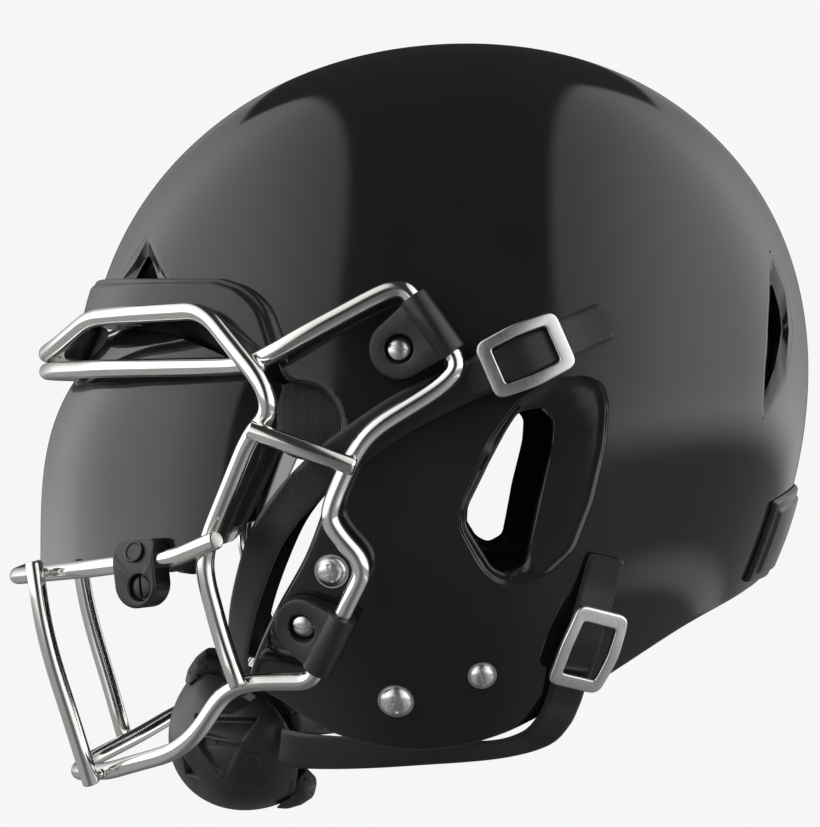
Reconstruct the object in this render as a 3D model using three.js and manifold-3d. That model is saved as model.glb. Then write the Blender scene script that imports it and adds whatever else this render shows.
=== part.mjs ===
// A football helmet: moulded shell, wire face mask, tinted visor, padding, and a chin cup on buckled straps.
// Millimetres. +X is the wearer's left, +Y the back of the head, +Z up; the origin is the centre of the head.

import * as THREE from "three";
import { mergeVertices } from "three/addons/utils/BufferGeometryUtils.js";
import Module from "manifold-3d";

const wasm = await Module();
wasm.setup();

// ---- Driving dimensions ---------------------------------------------------------------------------------

const GAP = 0.35; // between pieces that touch

// The dome: its half width, its radius in the middle plane at every 30 degrees from the back over the crown,
// and the exponent that rounds the middle plane over into the sides.
const HALF_WIDTH = 116;
const DOME_RADII = [142.5, 151.5, 153.5, 149.5, 150.5, 151.5, 150, 156, 163, 168, 153, 141];
const DOME_EXPONENT = 2.4;
const SHELL_WALL = 4;
const SIDE_REACH = 130; // past the sides of every piece that is cut from a dome

// Side outlines are [y, z] points.
const FACE_EDGE = [
  [-90, 39.5], [-69, 23.5], [-63, 12.5], [-50, 8.5], [-43, -4], [-45.5, -22], [-55, -50], [-67, -72],
  [-77.5, -94],
];
const JAW_EDGE = [
  [-75, -102], [-45, -121], [-14, -126.5], [16, -120.5], [48, -103.5], [85, -81.5], [114, -69], [137, -66],
];
const BUMPER_TOP = [[-110, 50.5], [-84, 49], [-73, 44], [-66, 36], [-62, 24], [-61, 18]];
const BUMPER_BOTTOM = [[-66, 17.5], [-72, 23.5], [-90, 36.5]];
const BUMPER_THICKNESS = 4.6;
const REAR_BUMPER_FRONT = [[126, -33], [119, -44], [114.5, -66]];
const REAR_BUMPER_THICKNESS = 3.6;
const EAR_HOLE = [[22, 3], [35.5, 4], [34, -12], [25, -58], [14.5, -60], [1, -39], [4, -31]];
const FRONT_VENT = [[-117, 62], [-111.5, 49], [-124, 49.5]];
const REAR_VENT = [[121.5, 59], [127, 32], [114, 2], [119, 38]];

// Padding: how thick, and the box [low, high] that each pad fills between the shell and its own inner face.
const PAD_THICKNESS = 18;
const PAD_GAP = 1;
const PADS = {
  crown_pad: [[-52, -48, 90], [52, 56, 160]],
  front_pad: [[-66, -160, 44], [66, -70, 82]],
  rear_pad: [[-62, 90, -46], [62, 160, 48]],
};
const SIDE_PADS = {
  side_pad: [[60, -52, 14], [130, 62, 70]],
  jaw_pad: [[58, -54, -108], [130, -6, -26]],
  temple_pad: [[97, -66, -18], [130, -38, 11]],
};

// Wire of the face mask.
const WIRE_RADIUS = 3.1;
const WIRE_SIDES = 6;
const WIRE_BEND = 9;

// Mask clips: where the screw sits on the shell, and which way the wire runs through, both as [y, z].
const UPPER_CLIP = { screw: [-21, 22.8], along: [16.6, -23.6], reach: 14.4, length: 25 };
const LOWER_CLIP = { screw: [-55.2, -76.4], along: [-13.1, -25.5], reach: 11.4, length: 25 };
const CLIP = {
  plate: 4, lift: 0.6, corner: 11, wireHeight: 6.3, wrap: 5.7, bore: 3.5,
  boreHead: 5.1, headSeat: 2.4, boreScrew: 2.7,
};
const SCREW = { head: 4, headHeight: 2.4, shank: 2.3, slot: 1 };

// Shell studs as [y, z, head radius].
const STUDS = { front_stud: [-45.9, -57.4, 5.6], lower_stud: [-22.6, -106, 6], rear_stud: [9.1, -96, 4.6] };
const STUD_SHANK = 2.2;
const SHANK_END = -SHELL_WALL - 0.2; // shanks end just inside the shell

// Straps and buckles. A buckle sits at [y, z] on the shell with its strap leaving along [y, z].
const STRAP = { width: 14.5, thickness: 1.6 };
const FRAME = { length: 30, width: 20, window: [20, 15.3], thickness: 2.2, height: 6.2 };
const BASE = { length: 24, width: 13, thickness: 1.4, height: 1.6 };
const SNAP = { flange: 4.6, thickness: 0.8, shank: 2 };
const BUCKLES = {
  upper: { at: [23.5, 20.5], along: [-0.92, -0.4] },
  lower: { at: [45.6, -84], along: [-0.27, -0.96] },
};
const STRAP_TAIL = 33;

// Visor: half width, depth in front of its back edge, the height its front rolls back over, and how far
// its side edges run on behind.
const VISOR = {
  halfWidth: 94, depth: 97, back: -71, bottom: -63, height: 96, roll: 32, rollPower: 3.6, wall: 2.2,
  tail: 12, tailPower: 10,
};

// Chin cup: lateral, along-rim and depth half sizes, its middle, its rim's level and how far the rim's sides
// sweep back.
const CUP = { lateral: 41, rim: 33, depth: 38, wall: 3, centre: [-80, -127.5], tilt: 36, level: 6, wing: 22 };
const CUP_LINER = { thickness: 5, proud: 5 };

// ---- Materials -----------------------------------------------------------------------------------------

const finish = (color, roughness, metalness) =>
  new THREE.MeshStandardMaterial({ color, roughness, metalness });
const GLOSS_SHELL = finish(0x111112, 0.12, 0);
const SATIN_PLASTIC = finish(0x1a1a1b, 0.4, 0);
const CHROME = finish(0xd8d6d2, 0.08, 1);
const NICKEL = finish(0xb9b7b3, 0.3, 1);
const FOAM = finish(0x202124, 0.9, 0);
const WEBBING = finish(0x18181a, 0.85, 0);
const TINTED = finish(0x3a3a3c, 0.08, 0);
TINTED.transparent = true;
TINTED.opacity = 0.75;

// ---- Solids --------------------------------------------------------------------------------------------

// A closed three.js geometry as a manifold-3d solid.
function solid(geometry) {
  const bare = geometry.clone();
  bare.deleteAttribute("normal");
  bare.deleteAttribute("uv");
  const merged = mergeVertices(bare, 1e-4);
  const vertProperties = merged.attributes.position.array;
  const triVerts = new Uint32Array(merged.index.array);
  return new wasm.Manifold(new wasm.Mesh({ numProp: 3, vertProperties, triVerts }));
}

function geometryOf(manifold) {
  const result = manifold.getMesh();
  const geometry = new THREE.BufferGeometry();
  geometry.setAttribute("position", new THREE.BufferAttribute(result.vertProperties, 3));
  geometry.setIndex(new THREE.BufferAttribute(result.triVerts, 1));
  geometry.computeVertexNormals();
  return geometry;
}

function piece(name, shape, material) {
  const geometry = shape.isBufferGeometry ? shape : geometryOf(shape);
  const mesh = new THREE.Mesh(geometry, material);
  mesh.name = name;
  return mesh;
}

const moved = (geometry, matrix) => geometry.clone().applyMatrix4(matrix);

// A closed surface from rings of points: each ring joins the next, and each end is a point or a capped ring.
function loft(rings) {
  const count = Math.max(...rings.map((ring) => ring.length));
  const positions = rings.flat().flatMap((p) => [p.x, p.y, p.z]);
  const starts = rings.map((_, i) => rings.slice(0, i).reduce((sum, ring) => sum + ring.length, 0));
  const index = (i, j) => starts[i] + (rings[i].length === 1 ? 0 : j % count);
  const triangles = [];
  for (let i = 0; i + 1 < rings.length; i += 1) {
    for (let j = 0; j < count; j += 1) {
      const [a, b, c, d] = [index(i, j), index(i, j + 1), index(i + 1, j + 1), index(i + 1, j)];
      if (a !== b) triangles.push(a, b, c);
      if (c !== d) triangles.push(a, c, d);
    }
  }
  const last = rings.length - 1;
  for (let j = 1; j + 1 < count; j += 1) {
    if (rings[0].length > 1) triangles.push(index(0, 0), index(0, j + 1), index(0, j));
    if (rings[last].length > 1) triangles.push(index(last, 0), index(last, j), index(last, j + 1));
  }
  const geometry = new THREE.BufferGeometry();
  geometry.setAttribute("position", new THREE.Float32BufferAttribute(positions, 3));
  geometry.setIndex(triangles);
  return geometry;
}

// ---- The dome surface ----------------------------------------------------------------------------------

// Radius in the middle plane at an angle from the back over the crown, by a smooth curve through DOME_RADII.
function domeRadius(angle) {
  const count = DOME_RADII.length;
  const turn = (((angle / (2 * Math.PI)) % 1) + 1) % 1;
  const cell = Math.floor(turn * count);
  const t = turn * count - cell;
  const [p, a, b, q] = [-1, 0, 1, 2].map((k) => DOME_RADII[(cell + k + count) % count]);
  const square = 2 * p - 5 * a + 4 * b - q;
  const cube = -p + 3 * a - 3 * b + q;
  return 0.5 * (2 * a + (b - p) * t + square * t * t + cube * t ** 3);
}

// A point of the surface that lies `offset` outside the dome, above the side-view point [y, z].
function onDome(y, z, offset = 0) {
  const share = Math.hypot(y, z) / (domeRadius(Math.atan2(z, y)) + offset);
  const x = (HALF_WIDTH + offset) * (1 - share ** DOME_EXPONENT) ** (1 / DOME_EXPONENT);
  return new THREE.Vector3(x, y, z);
}

function domeNormal(y, z) {
  const step = 2;
  const alongY = onDome(y + step, z).sub(onDome(y - step, z));
  const alongZ = onDome(y, z + step).sub(onDome(y, z - step));
  return alongY.cross(alongZ).normalize();
}

// The solid inside the surface that lies `offset` outside the dome.
function domeSolid(offset, across = 16, around = 40) {
  const power = 2 / DOME_EXPONENT;
  const rings = [];
  for (let i = 0; i <= across; i += 1) {
    const polar = Math.PI * (i / across - 0.5);
    const x = Math.sign(polar) * (HALF_WIDTH + offset) * Math.abs(Math.sin(polar)) ** power;
    const share = Math.abs(Math.cos(polar)) ** power;
    const pole = i === 0 || i === across;
    const ring = Array.from({ length: pole ? 1 : around }, (_, j) => {
      const angle = (2 * Math.PI * j) / around;
      const radius = pole ? 0 : (domeRadius(angle) + offset) * share;
      return new THREE.Vector3(x, radius * Math.cos(angle), radius * Math.sin(angle));
    });
    rings.push(ring);
  }
  return solid(loft(rings));
}

// ---- Shapes in the side view ---------------------------------------------------------------------------

const points2 = (list) => list.map(([y, z]) => new THREE.Vector2(y, z));

// A polygon whose corners are rounded off.
function roundedOutline(corners, radius) {
  const shape = new THREE.Shape();
  const list = points2(corners);
  list.forEach((corner, i) => {
    const before = list[(i + list.length - 1) % list.length];
    const after = list[(i + 1) % list.length];
    const enter = corner.clone().add(before.clone().sub(corner).setLength(radius));
    const leave = corner.clone().add(after.clone().sub(corner).setLength(radius));
    if (i === 0) shape.moveTo(enter.x, enter.y);
    else shape.lineTo(enter.x, enter.y);
    shape.quadraticCurveTo(corner.x, corner.y, leave.x, leave.y);
  });
  shape.closePath();
  return shape;
}

// Extrudes a [y, z] shape along X, from x = low to x = high.
function sidePrism(shape, low, high, curveSegments = 3) {
  const depth = high - low;
  const geometry = new THREE.ExtrudeGeometry(shape, { depth, bevelEnabled: false, curveSegments });
  const turn = new THREE.Matrix4().makeBasis(
    new THREE.Vector3(0, 1, 0), new THREE.Vector3(0, 0, 1), new THREE.Vector3(1, 0, 0),
  );
  return solid(moved(geometry, turn.setPosition(low, 0, 0)));
}

// A smooth line through [y, z] points, sampled.
function smoothLine(list, samples) {
  return new THREE.SplineCurve(points2(list)).getPoints(samples).map((p) => [p.x, p.y]);
}

const polygonShape = (list) => new THREE.Shape(points2(list));

function box([low, high]) {
  const [a, b] = [new THREE.Vector3(...low), new THREE.Vector3(...high)];
  const size = b.clone().sub(a);
  const middle = a.clone().add(b).multiplyScalar(0.5);
  return solid(new THREE.BoxGeometry(size.x, size.y, size.z).translate(middle.x, middle.y, middle.z));
}

// ---- Placing pieces on the dome ------------------------------------------------------------------------

// A frame on the dome at [y, z]: x runs along the given side-view direction and z points outward.
function domeFrame([y, z], [alongY, alongZ]) {
  const out = domeNormal(y, z);
  const along = new THREE.Vector3(0, alongY, alongZ);
  along.addScaledVector(out, -along.dot(out)).normalize();
  const across = out.clone().cross(along);
  return new THREE.Matrix4().makeBasis(along, across, out).setPosition(onDome(y, z));
}

// A cylinder along the local z axis of a frame, from z = low to z = high.
function disc(radius, low, high, sides = 12, x = 0, y = 0) {
  const geometry = new THREE.CylinderGeometry(radius, radius, high - low, sides);
  return geometry.rotateX(Math.PI / 2).translate(x, y, (low + high) / 2);
}

// A cylinder along the local x axis of a frame.
function bar(radius, low, high, sides, y, z) {
  const geometry = new THREE.CylinderGeometry(radius, radius, high - low, sides);
  return geometry.rotateZ(Math.PI / 2).translate((low + high) / 2, y, z);
}

// ---- Bent wire -----------------------------------------------------------------------------------------

// A path of straight runs with rounded bends, whose even parameter steps fall on its own stops.
class BentPath extends THREE.Curve {
  constructor(corners, bend) {
    super();
    this.stops = [corners[0]];
    for (let i = 1; i + 1 < corners.length; i += 1) {
      const toward = (end) => {
        const leg = end.clone().sub(corners[i]);
        const reach = Math.min(corners[i].bend ?? bend, leg.length() * 0.45);
        return corners[i].clone().add(leg.setLength(reach));
      };
      const enter = toward(corners[i - 1]);
      const leave = toward(corners[i + 1]);
      const curve = new THREE.QuadraticBezierCurve3(enter, corners[i], leave);
      this.stops.push(...curve.getPoints(2));
    }
    this.stops.push(corners[corners.length - 1]);
  }

  getPoint(t) {
    const last = this.stops.length - 1;
    const at = Math.min(t * last, last - 1e-9);
    const cell = Math.floor(at);
    return this.stops[cell].clone().lerp(this.stops[cell + 1], at - cell);
  }

  getPointAt(t) {
    return this.getPoint(t);
  }

  getTangentAt(t) {
    const last = this.stops.length - 1;
    const stop = Math.round(t * last);
    const leg = (i) => this.stops[i + 1].clone().sub(this.stops[i]).normalize();
    const before = leg(Math.max(stop - 1, 0));
    const after = leg(Math.min(stop, last - 1));
    return before.add(after).normalize();
  }
}

function wire(corners, bend = WIRE_BEND, radius = WIRE_RADIUS) {
  const extrudePath = new BentPath(corners, bend);
  const section = new THREE.Shape().absarc(0, 0, radius, 0, 2 * Math.PI);
  const steps = extrudePath.stops.length - 1;
  return solid(new THREE.ExtrudeGeometry(section, { steps, extrudePath, curveSegments: WIRE_SIDES / 2 }));
}

const at = (x, y, z) => new THREE.Vector3(x, y, z);

// The straight run of the visor bar that a visor clip holds, from its back end to its front end.
const VISOR_BAR_RUN = [at(99, -104, -53), at(78, -138, -58.5)];

// The corner that lies `bend` past the end of a straight run, and bends no sooner than that end.
function cornerPast(from, to, bend) {
  const corner = to.clone().add(to.clone().sub(from).setLength(bend));
  return Object.assign(corner, { bend });
}

const mirrored = (point) => Object.assign(at(-point.x, point.y, point.z), { bend: point.bend });

// The whole wire from the left end over the middle plane to the right end.
const bothSides = (half) => [...half, ...half.map(mirrored).reverse()];

// ---- Shell, bumpers and padding ------------------------------------------------------------------------

function shellOutline() {
  const face = smoothLine(FACE_EDGE, 15);
  const jaw = smoothLine(JAW_EDGE, 13);
  return polygonShape([[-175, 38], ...face, ...jaw, [175, -64], [175, 175], [-175, 175]]);
}

function buildShell() {
  const wall = domeSolid(0).subtract(domeSolid(-SHELL_WALL, 12, 30));
  let shell = wall.intersect(sidePrism(shellOutline(), -SIDE_REACH, SIDE_REACH));
  const cuts = [
    sidePrism(roundedOutline(EAR_HOLE, 3.5), 80, 130, 2),
    sidePrism(roundedOutline(FRONT_VENT, 1.2), 52, 100, 1),
    sidePrism(roundedOutline(REAR_VENT, 1.2), 46, 100, 1),
    ...Object.values(STUDS).map(([y, z]) => boreAt([y, z], STUD_SHANK + GAP)),
    ...[UPPER_CLIP, LOWER_CLIP].map((clip) => boreAt(clip.screw, SCREW.shank + GAP)),
    ...Object.values(BUCKLES).map((buckle) => boreAt(buckle.at, SNAP.shank + GAP)),
  ];
  const flip = new THREE.Matrix4().makeScale(-1, 1, 1);
  cuts.forEach((cut) => {
    shell = shell.subtract(cut).subtract(mirrorSolid(cut, flip));
  });
  return piece("outer_shell", shell, GLOSS_SHELL);
}

function mirrorSolid(manifold, flip) {
  const geometry = moved(geometryOf(manifold), flip);
  const index = geometry.index.array;
  for (let i = 0; i < index.length; i += 3) [index[i + 1], index[i + 2]] = [index[i + 2], index[i + 1]];
  return solid(geometry);
}

// A round hole through the shell wall, square to it.
function boreAt(place, radius) {
  return solid(moved(disc(radius, -9, 3, 8), domeFrame(place, [1, 0])));
}

function bumper(name, thickness, outline) {
  const skin = domeSolid(thickness).subtract(domeSolid(GAP));
  return piece(name, skin.intersect(sidePrism(outline, -SIDE_REACH, SIDE_REACH)), SATIN_PLASTIC);
}

function buildBumpers() {
  const front = polygonShape([
    [-175, 34.5], [-175, 54], [-140, 53],
    ...smoothLine(BUMPER_TOP, 10), ...smoothLine(BUMPER_BOTTOM, 4),
  ]);
  const rearLine = smoothLine(REAR_BUMPER_FRONT, 5).reverse();
  const rear = polygonShape([[175, -63.5], [137, -65.5], ...rearLine, [175, -27]]);
  return [
    bumper("front_bumper", BUMPER_THICKNESS, front),
    bumper("rear_bumper", REAR_BUMPER_THICKNESS, rear),
  ];
}

function pad(name, limits, layers) {
  return piece(name, layers.intersect(box(limits)), FOAM);
}

function buildPads() {
  const outside = domeSolid(-SHELL_WALL - PAD_GAP, 12, 30);
  const layers = outside.subtract(domeSolid(-SHELL_WALL - PAD_THICKNESS, 12, 24));
  const middle = Object.entries(PADS).map(([name, limits]) => pad(name, limits, layers));
  const sides = Object.entries(SIDE_PADS).map(([name, limits]) => pad(`left_${name}`, limits, layers));
  return [...middle, ...sides, ...sides.map(rightCopy)];
}

// ---- Left and right ------------------------------------------------------------------------------------

// The right-hand twin of a left-hand piece.
function rightCopy(mesh) {
  const twin = new THREE.Mesh(mesh.geometry, mesh.material);
  twin.name = mesh.name.replace("left_", "right_");
  twin.scale.x = -1;
  return twin;
}

// ---- Mask clips, screws and studs ----------------------------------------------------------------------

// The two ends of the wire's straight run through a clip.
function clipRun({ screw, along, reach, length }) {
  const frame = domeFrame(screw, along);
  const side = clipSide({ screw, along });
  const end = (x) => new THREE.Vector3(x, side * reach, CLIP.wireHeight).applyMatrix4(frame);
  return [end(-length / 2), end(length / 2)];
}

// The wire runs behind the screw, so this says which local side of the screw is the back.
function clipSide({ screw, along }) {
  const across = new THREE.Vector3(0, 1, 0).transformDirection(domeFrame(screw, along));
  return Math.sign(across.y);
}

function buildClip(name, clip) {
  const frame = domeFrame(clip.screw, clip.along);
  const side = clipSide(clip);
  const half = clip.length / 2;
  const outline = new THREE.Shape();
  outline.moveTo(-half, side * clip.reach);
  outline.lineTo(half, side * clip.reach);
  outline.lineTo(CLIP.corner, 0);
  outline.absarc(0, 0, CLIP.corner, 0, -side * Math.PI, side > 0);
  outline.closePath();
  const cylinder = (radius, past, sides) => solid(
    bar(radius, -half - past, half + past, sides, side * clip.reach, CLIP.wireHeight),
  );
  const body = solid(slab(outline, CLIP.lift, CLIP.plate, 5))
    .add(cylinder(CLIP.wrap, 0, 10))
    .subtract(cylinder(CLIP.bore, 1, 8))
    .subtract(solid(disc(CLIP.boreHead, CLIP.headSeat, 8, 12)))
    .subtract(solid(disc(CLIP.boreScrew, -1, 3, 8)));
  return piece(name, moved(geometryOf(body), frame), SATIN_PLASTIC);
}

// A screw through a clip and the shell: a slotted head in the clip's recess and a plain shank.
function buildClipScrew(name, clip) {
  const seat = CLIP.headSeat + GAP;
  const top = seat + SCREW.headHeight;
  const slot = new THREE.BoxGeometry(SCREW.slot, 2 * SCREW.head + 2, 1.2).translate(0, 0, top);
  const body = solid(disc(SCREW.head, seat, top, 12))
    .add(solid(disc(SCREW.shank, SHANK_END, seat + 0.2, 8)))
    .subtract(solid(slot));
  return piece(name, moved(geometryOf(body), domeFrame(clip.screw, [0, 1])), NICKEL);
}

// A stud with a low domed head outside the shell and a plain shank through it.
function buildStud(name, [y, z, radius]) {
  const rise = radius * 0.38;
  const profile = [[0, SHANK_END], [STUD_SHANK, SHANK_END], [STUD_SHANK, GAP], [radius, GAP],
    [radius, GAP + 0.7], [radius * 0.75, GAP + 0.7 + rise * 0.6], [0, GAP + 0.7 + rise]];
  const turned = new THREE.LatheGeometry(points2(profile), 12).rotateX(Math.PI / 2);
  return piece(name, solid(moved(turned, domeFrame([y, z], [1, 0]))), NICKEL);
}

// ---- Face mask -----------------------------------------------------------------------------------------

function buildMask() {
  const [upperTop, upperEnd] = clipRun(UPPER_CLIP);
  const [lowerTop, lowerEnd] = clipRun(LOWER_CLIP);
  const upperMiddle = upperTop.clone().lerp(upperEnd, 0.5);
  const lowerMiddle = lowerTop.clone().lerp(lowerEnd, 0.5);
  const cut = 0.3;
  const before = (middle, end) => middle.clone().add(end.clone().sub(middle).setLength(cut));

  const upper = bothSides([
    before(upperMiddle, upperTop), cornerPast(upperEnd, upperTop, 4),
    onDome(-26, 44, 6.6), onDome(-56, 28, 8.2), onDome(-69, 20.5, 8.4),
    at(109.5, -77.5, 17.3), at(92, -111, 17), at(70, -137, 17), at(34, -158, 17), at(12, -165, 17),
  ]);
  const side = [
    before(upperMiddle, upperEnd), cornerPast(upperTop, upperEnd, 5),
    onDome(-7, 9, 6.6), onDome(-31.5, -6, 7.6), onDome(-39, -17, 8),
    onDome(-47, -36, 8), onDome(-44, -43, 8), onDome(-33, -55, 8),
    cornerPast(lowerEnd, lowerTop, 6), before(lowerMiddle, lowerTop),
  ];
  const lower = bothSides([
    before(lowerMiddle, lowerEnd), cornerPast(lowerTop, lowerEnd, 5), at(97, -78, -99), at(94, -87, -104),
    at(90, -96.5, -119), at(84, -106, -127), at(72, -121, -132.5), at(50.5, -134.5, -139), at(14, -152, -145),
  ]);
  const brow = bothSides([
    at(104, -80, -100), at(101.5, -86, -84), at(102, -93, -58), at(102.5, -91.5, -46.5),
    at(117, -75, -8), at(123, -67.5, 0), at(123.5, -69.5, 10),
    onDome(-92.5, 37.6, 10), onDome(-107, 37.2, 9.8), onDome(-123, 36.9, 9.6), onDome(-139.5, 36.6, 9),
    at(36, -157, 26.5), at(14, -165, 24),
  ]);
  const visorBar = bothSides([
    at(116, -87, -45.5), ...VISOR_BAR_RUN, at(53, -155.5, -61.5), at(18, -176, -65.5),
  ]);
  const post = [at(58, -162.5, -57), at(58.5, -159, -80), at(58.5, -155, -96), at(57, -147.5, -120),
    at(55, -140.5, -143.5)];
  const strut = [at(126, -75, -5.5), onDome(-37, -19, 15)];

  const pair = (name, corners) => {
    const left = piece(`left_${name}`, wire(corners), CHROME);
    return [left, rightCopy(left)];
  };
  return [
    piece("mask_upper_wire", wire(upper), CHROME),
    piece("mask_lower_wire", wire(lower), CHROME),
    piece("mask_visor_bar", wire(visorBar, 6), CHROME),
    piece("mask_brow_wire", wire(brow), CHROME),
    ...pair("side_wire", side),
    ...pair("front_post", post),
    ...pair("side_strut", strut),
  ];
}

// ---- Visor ---------------------------------------------------------------------------------------------

// A point of the visor: `turn` runs from -1 at the right edge to 1 at the left, `rise` from 0 at the foot
// to 1 at the top.
function visorPoint(turn, rise, inset) {
  const angle = (turn * Math.PI) / 2;
  const back = VISOR.roll * rise ** VISOR.rollPower;
  const lift = VISOR.bottom + 16 * Math.abs(turn) ** 2.2 * (1 - rise);
  const top = VISOR.bottom + VISOR.height - 26 * Math.abs(turn) ** 4;
  const x = (VISOR.halfWidth - inset) * Math.sin(angle);
  const forward = (VISOR.depth - inset - back) * Math.cos(angle);
  const tail = VISOR.tail * rise ** 0.6 * Math.abs(turn) ** VISOR.tailPower;
  const slope = 14 * rise * Math.abs(turn) ** 3 + tail;
  const y = VISOR.back - forward - 12 * Math.abs(turn) ** 3 + slope;
  return at(x, y, lift + (top - VISOR.bottom) * rise);
}

function buildVisor() {
  const rings = [];
  const columns = 20;
  const rows = 5;
  for (let i = 0; i <= columns; i += 1) {
    const turn = (2 * i) / columns - 1;
    const outer = Array.from({ length: rows + 1 }, (_, j) => visorPoint(turn, j / rows, 0));
    const inner = Array.from({ length: rows + 1 }, (_, j) => visorPoint(turn, 1 - j / rows, VISOR.wall));
    rings.push([...outer, ...inner].reverse());
  }
  return piece("visor", solid(loft(rings)), TINTED);
}

// A clip that holds the visor to its bar, in a frame whose x axis runs along the bar and z points outward.
function visorClipFrame() {
  const [back, front] = VISOR_BAR_RUN;
  const along = front.clone().sub(back).normalize();
  const out = new THREE.Vector3(0, 0, 1).cross(along).normalize();
  if (out.x < 0) out.negate();
  const across = out.clone().cross(along);
  return new THREE.Matrix4().makeBasis(along, across, out).setPosition(back.clone().lerp(front, 0.4));
}

function buildVisorClip() {
  const frame = visorClipFrame();
  const up = Math.sign(new THREE.Vector3(0, 1, 0).transformDirection(frame).z);
  const outline = roundedOutline([[-9.5, 8 * up], [9.5, 8 * up], [9.5, -17 * up], [-9.5, -17 * up]], 6);
  const screwY = -9.5 * up;
  const body = solid(slab(outline, -5, 10))
    .subtract(solid(bar(3.5, -12, 12, 10, 0, 0)))
    .subtract(solid(disc(4.2, 2.6, 8, 12, -2, screwY)))
    .subtract(solid(disc(2.2, -8, 4, 8, -2, screwY)));
  const screw = solid(disc(3.6, 2.9, 4.6, 12, -2, screwY)).add(solid(disc(1.8, -5, 3, 8, -2, screwY)));
  return [
    piece("left_visor_clip", moved(geometryOf(body), frame), SATIN_PLASTIC),
    piece("left_visor_clip_screw", moved(geometryOf(screw), frame), SATIN_PLASTIC),
  ];
}

// ---- Chin cup ------------------------------------------------------------------------------------------

// The cup's frame: x is lateral, y runs down and back along the rim, z points forward and down, out of
// the chin.
function cupFrame() {
  const tilt = THREE.MathUtils.degToRad(CUP.tilt);
  const rim = new THREE.Vector3(0, Math.sin(tilt), -Math.cos(tilt));
  const forward = new THREE.Vector3(0, -Math.cos(tilt), -Math.sin(tilt));
  const lateral = rim.clone().cross(forward);
  return new THREE.Matrix4().makeBasis(lateral, rim, forward).setPosition(0, ...CUP.centre);
}

function ellipsoid(x, y, z) {
  return solid(new THREE.SphereGeometry(1, 16, 10).rotateX(Math.PI / 2).scale(x, y, z));
}

// Everything in front of a saddle: flush with z = level in the middle and swept back to the side wings.
function cupKeep(level, wing) {
  const reach = 60;
  const steps = 10;
  const edge = Array.from({ length: steps + 1 }, (_, i) => {
    const x = reach * ((2 * i) / steps - 1);
    return new THREE.Vector2(x, level - wing * Math.min(Math.abs(x) / CUP.lateral, 1) ** 2);
  });
  const shape = new THREE.Shape([...edge, new THREE.Vector2(reach, reach), new THREE.Vector2(-reach, reach)]);
  const prism = new THREE.ExtrudeGeometry(shape, { depth: 2 * reach, bevelEnabled: false });
  return solid(prism.translate(0, 0, -reach).rotateX(Math.PI / 2));
}

function buildChinCup() {
  const frame = cupFrame();
  const { lateral, rim, depth, wall, wing } = CUP;
  const { thickness, proud } = CUP_LINER;
  const inset = (by) => ellipsoid(lateral - by, rim - by, depth - by);
  const skin = wall + GAP;
  const shell = inset(0).subtract(inset(wall)).intersect(cupKeep(CUP.level, wing));
  const foam = inset(skin).subtract(inset(skin + thickness)).intersect(cupKeep(CUP.level - proud, wing));
  return [
    piece("chin_cup", moved(geometryOf(shell), frame), SATIN_PLASTIC),
    piece("chin_cup_liner", moved(geometryOf(foam), frame), FOAM),
  ];
}

// ---- Straps and buckles --------------------------------------------------------------------------------

// A flat strap through stations {centre, out}: `out` is the way its face looks.
function ribbon(stations, width, thickness) {
  const rings = stations.map(({ centre, out }, i) => {
    const before = stations[Math.max(i - 1, 0)].centre;
    const after = stations[Math.min(i + 1, stations.length - 1)].centre;
    const along = after.clone().sub(before).normalize();
    const across = along.clone().cross(out).normalize().multiplyScalar(width / 2);
    const up = across.clone().cross(along).normalize().multiplyScalar(thickness / 2);
    const corner = (a, b) => centre.clone().addScaledVector(across, a).addScaledVector(up, b);
    return [corner(1, 1), corner(-1, 1), corner(-1, -1), corner(1, -1)];
  });
  const made = solid(loft(rings));
  return made.volume() < 0 ? solid(loft(rings.reverse())) : made;
}

// A station on the shell, `height` above it.
const onShell = (y, z, height) => ({ centre: onDome(y, z, height), out: domeNormal(y, z) });
const free = (x, y, z, ...out) => ({ centre: at(x, y, z), out: at(...out) });

// The stations of a strap under its buckle, from the tail's end to where it leaves the frame.
function buckleRun({ at: [y, z], along: [dy, dz] }) {
  const height = BASE.height + BASE.thickness + 0.6 + STRAP.thickness / 2;
  const station = (distance, lift) => onShell(y + dy * distance, z + dz * distance, lift);
  return [station(-STRAP_TAIL, 2), station(-24, 2.2), station(-14, height), station(0, height + 0.3),
    station(13, height), station(22, 2)];
}

function buildStraps() {
  const upper = [
    ...buckleRun(BUCKLES.upper), onShell(-8, 6.5, 1.7), onShell(-22, -1, 1.7), onShell(-36, -10.5, 1.7),
    onShell(-46, -18, 1.9), onShell(-54, -25.5, 1.9),
    free(104, -63, -35, 1, -0.4, 0.1), free(94, -72, -49, 1, -0.5, 0),
    free(74, -80.5, -73, 1, -0.7, 0.1), free(57, -84, -92, 1, -0.5, 0.5), free(46, -84, -105, 1, -0.3, 0.3),
  ];
  const lower = [
    ...buckleRun(BUCKLES.lower), onShell(36, -114, 2.8), free(86.5, 29, -121.5, 0.6, 0, -0.8),
    free(78.4, 14, -128, 0.6, 0, -0.8), free(70, -14, -131, 0.75, 0, -0.66),
    free(58, -40, -132.5, 0.9, -0.1, -0.4),
    free(48.5, -58, -131.5, 1, -0.1, -0.2), free(43.6, -68, -130.5, 1, -0.1, 0),
  ];
  const made = { left_upper_strap: upper, left_lower_strap: lower };
  return Object.entries(made).map(([name, run]) => {
    return piece(name, ribbon(run, STRAP.width, STRAP.thickness), WEBBING);
  });
}

// A rectangle with round corners, as a shape in a buckle's own plane.
function plateOutline(length, width, radius) {
  const [x, y] = [length / 2, width / 2];
  return roundedOutline([[-x, -y], [x, -y], [x, y], [-x, y]], radius);
}

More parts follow.
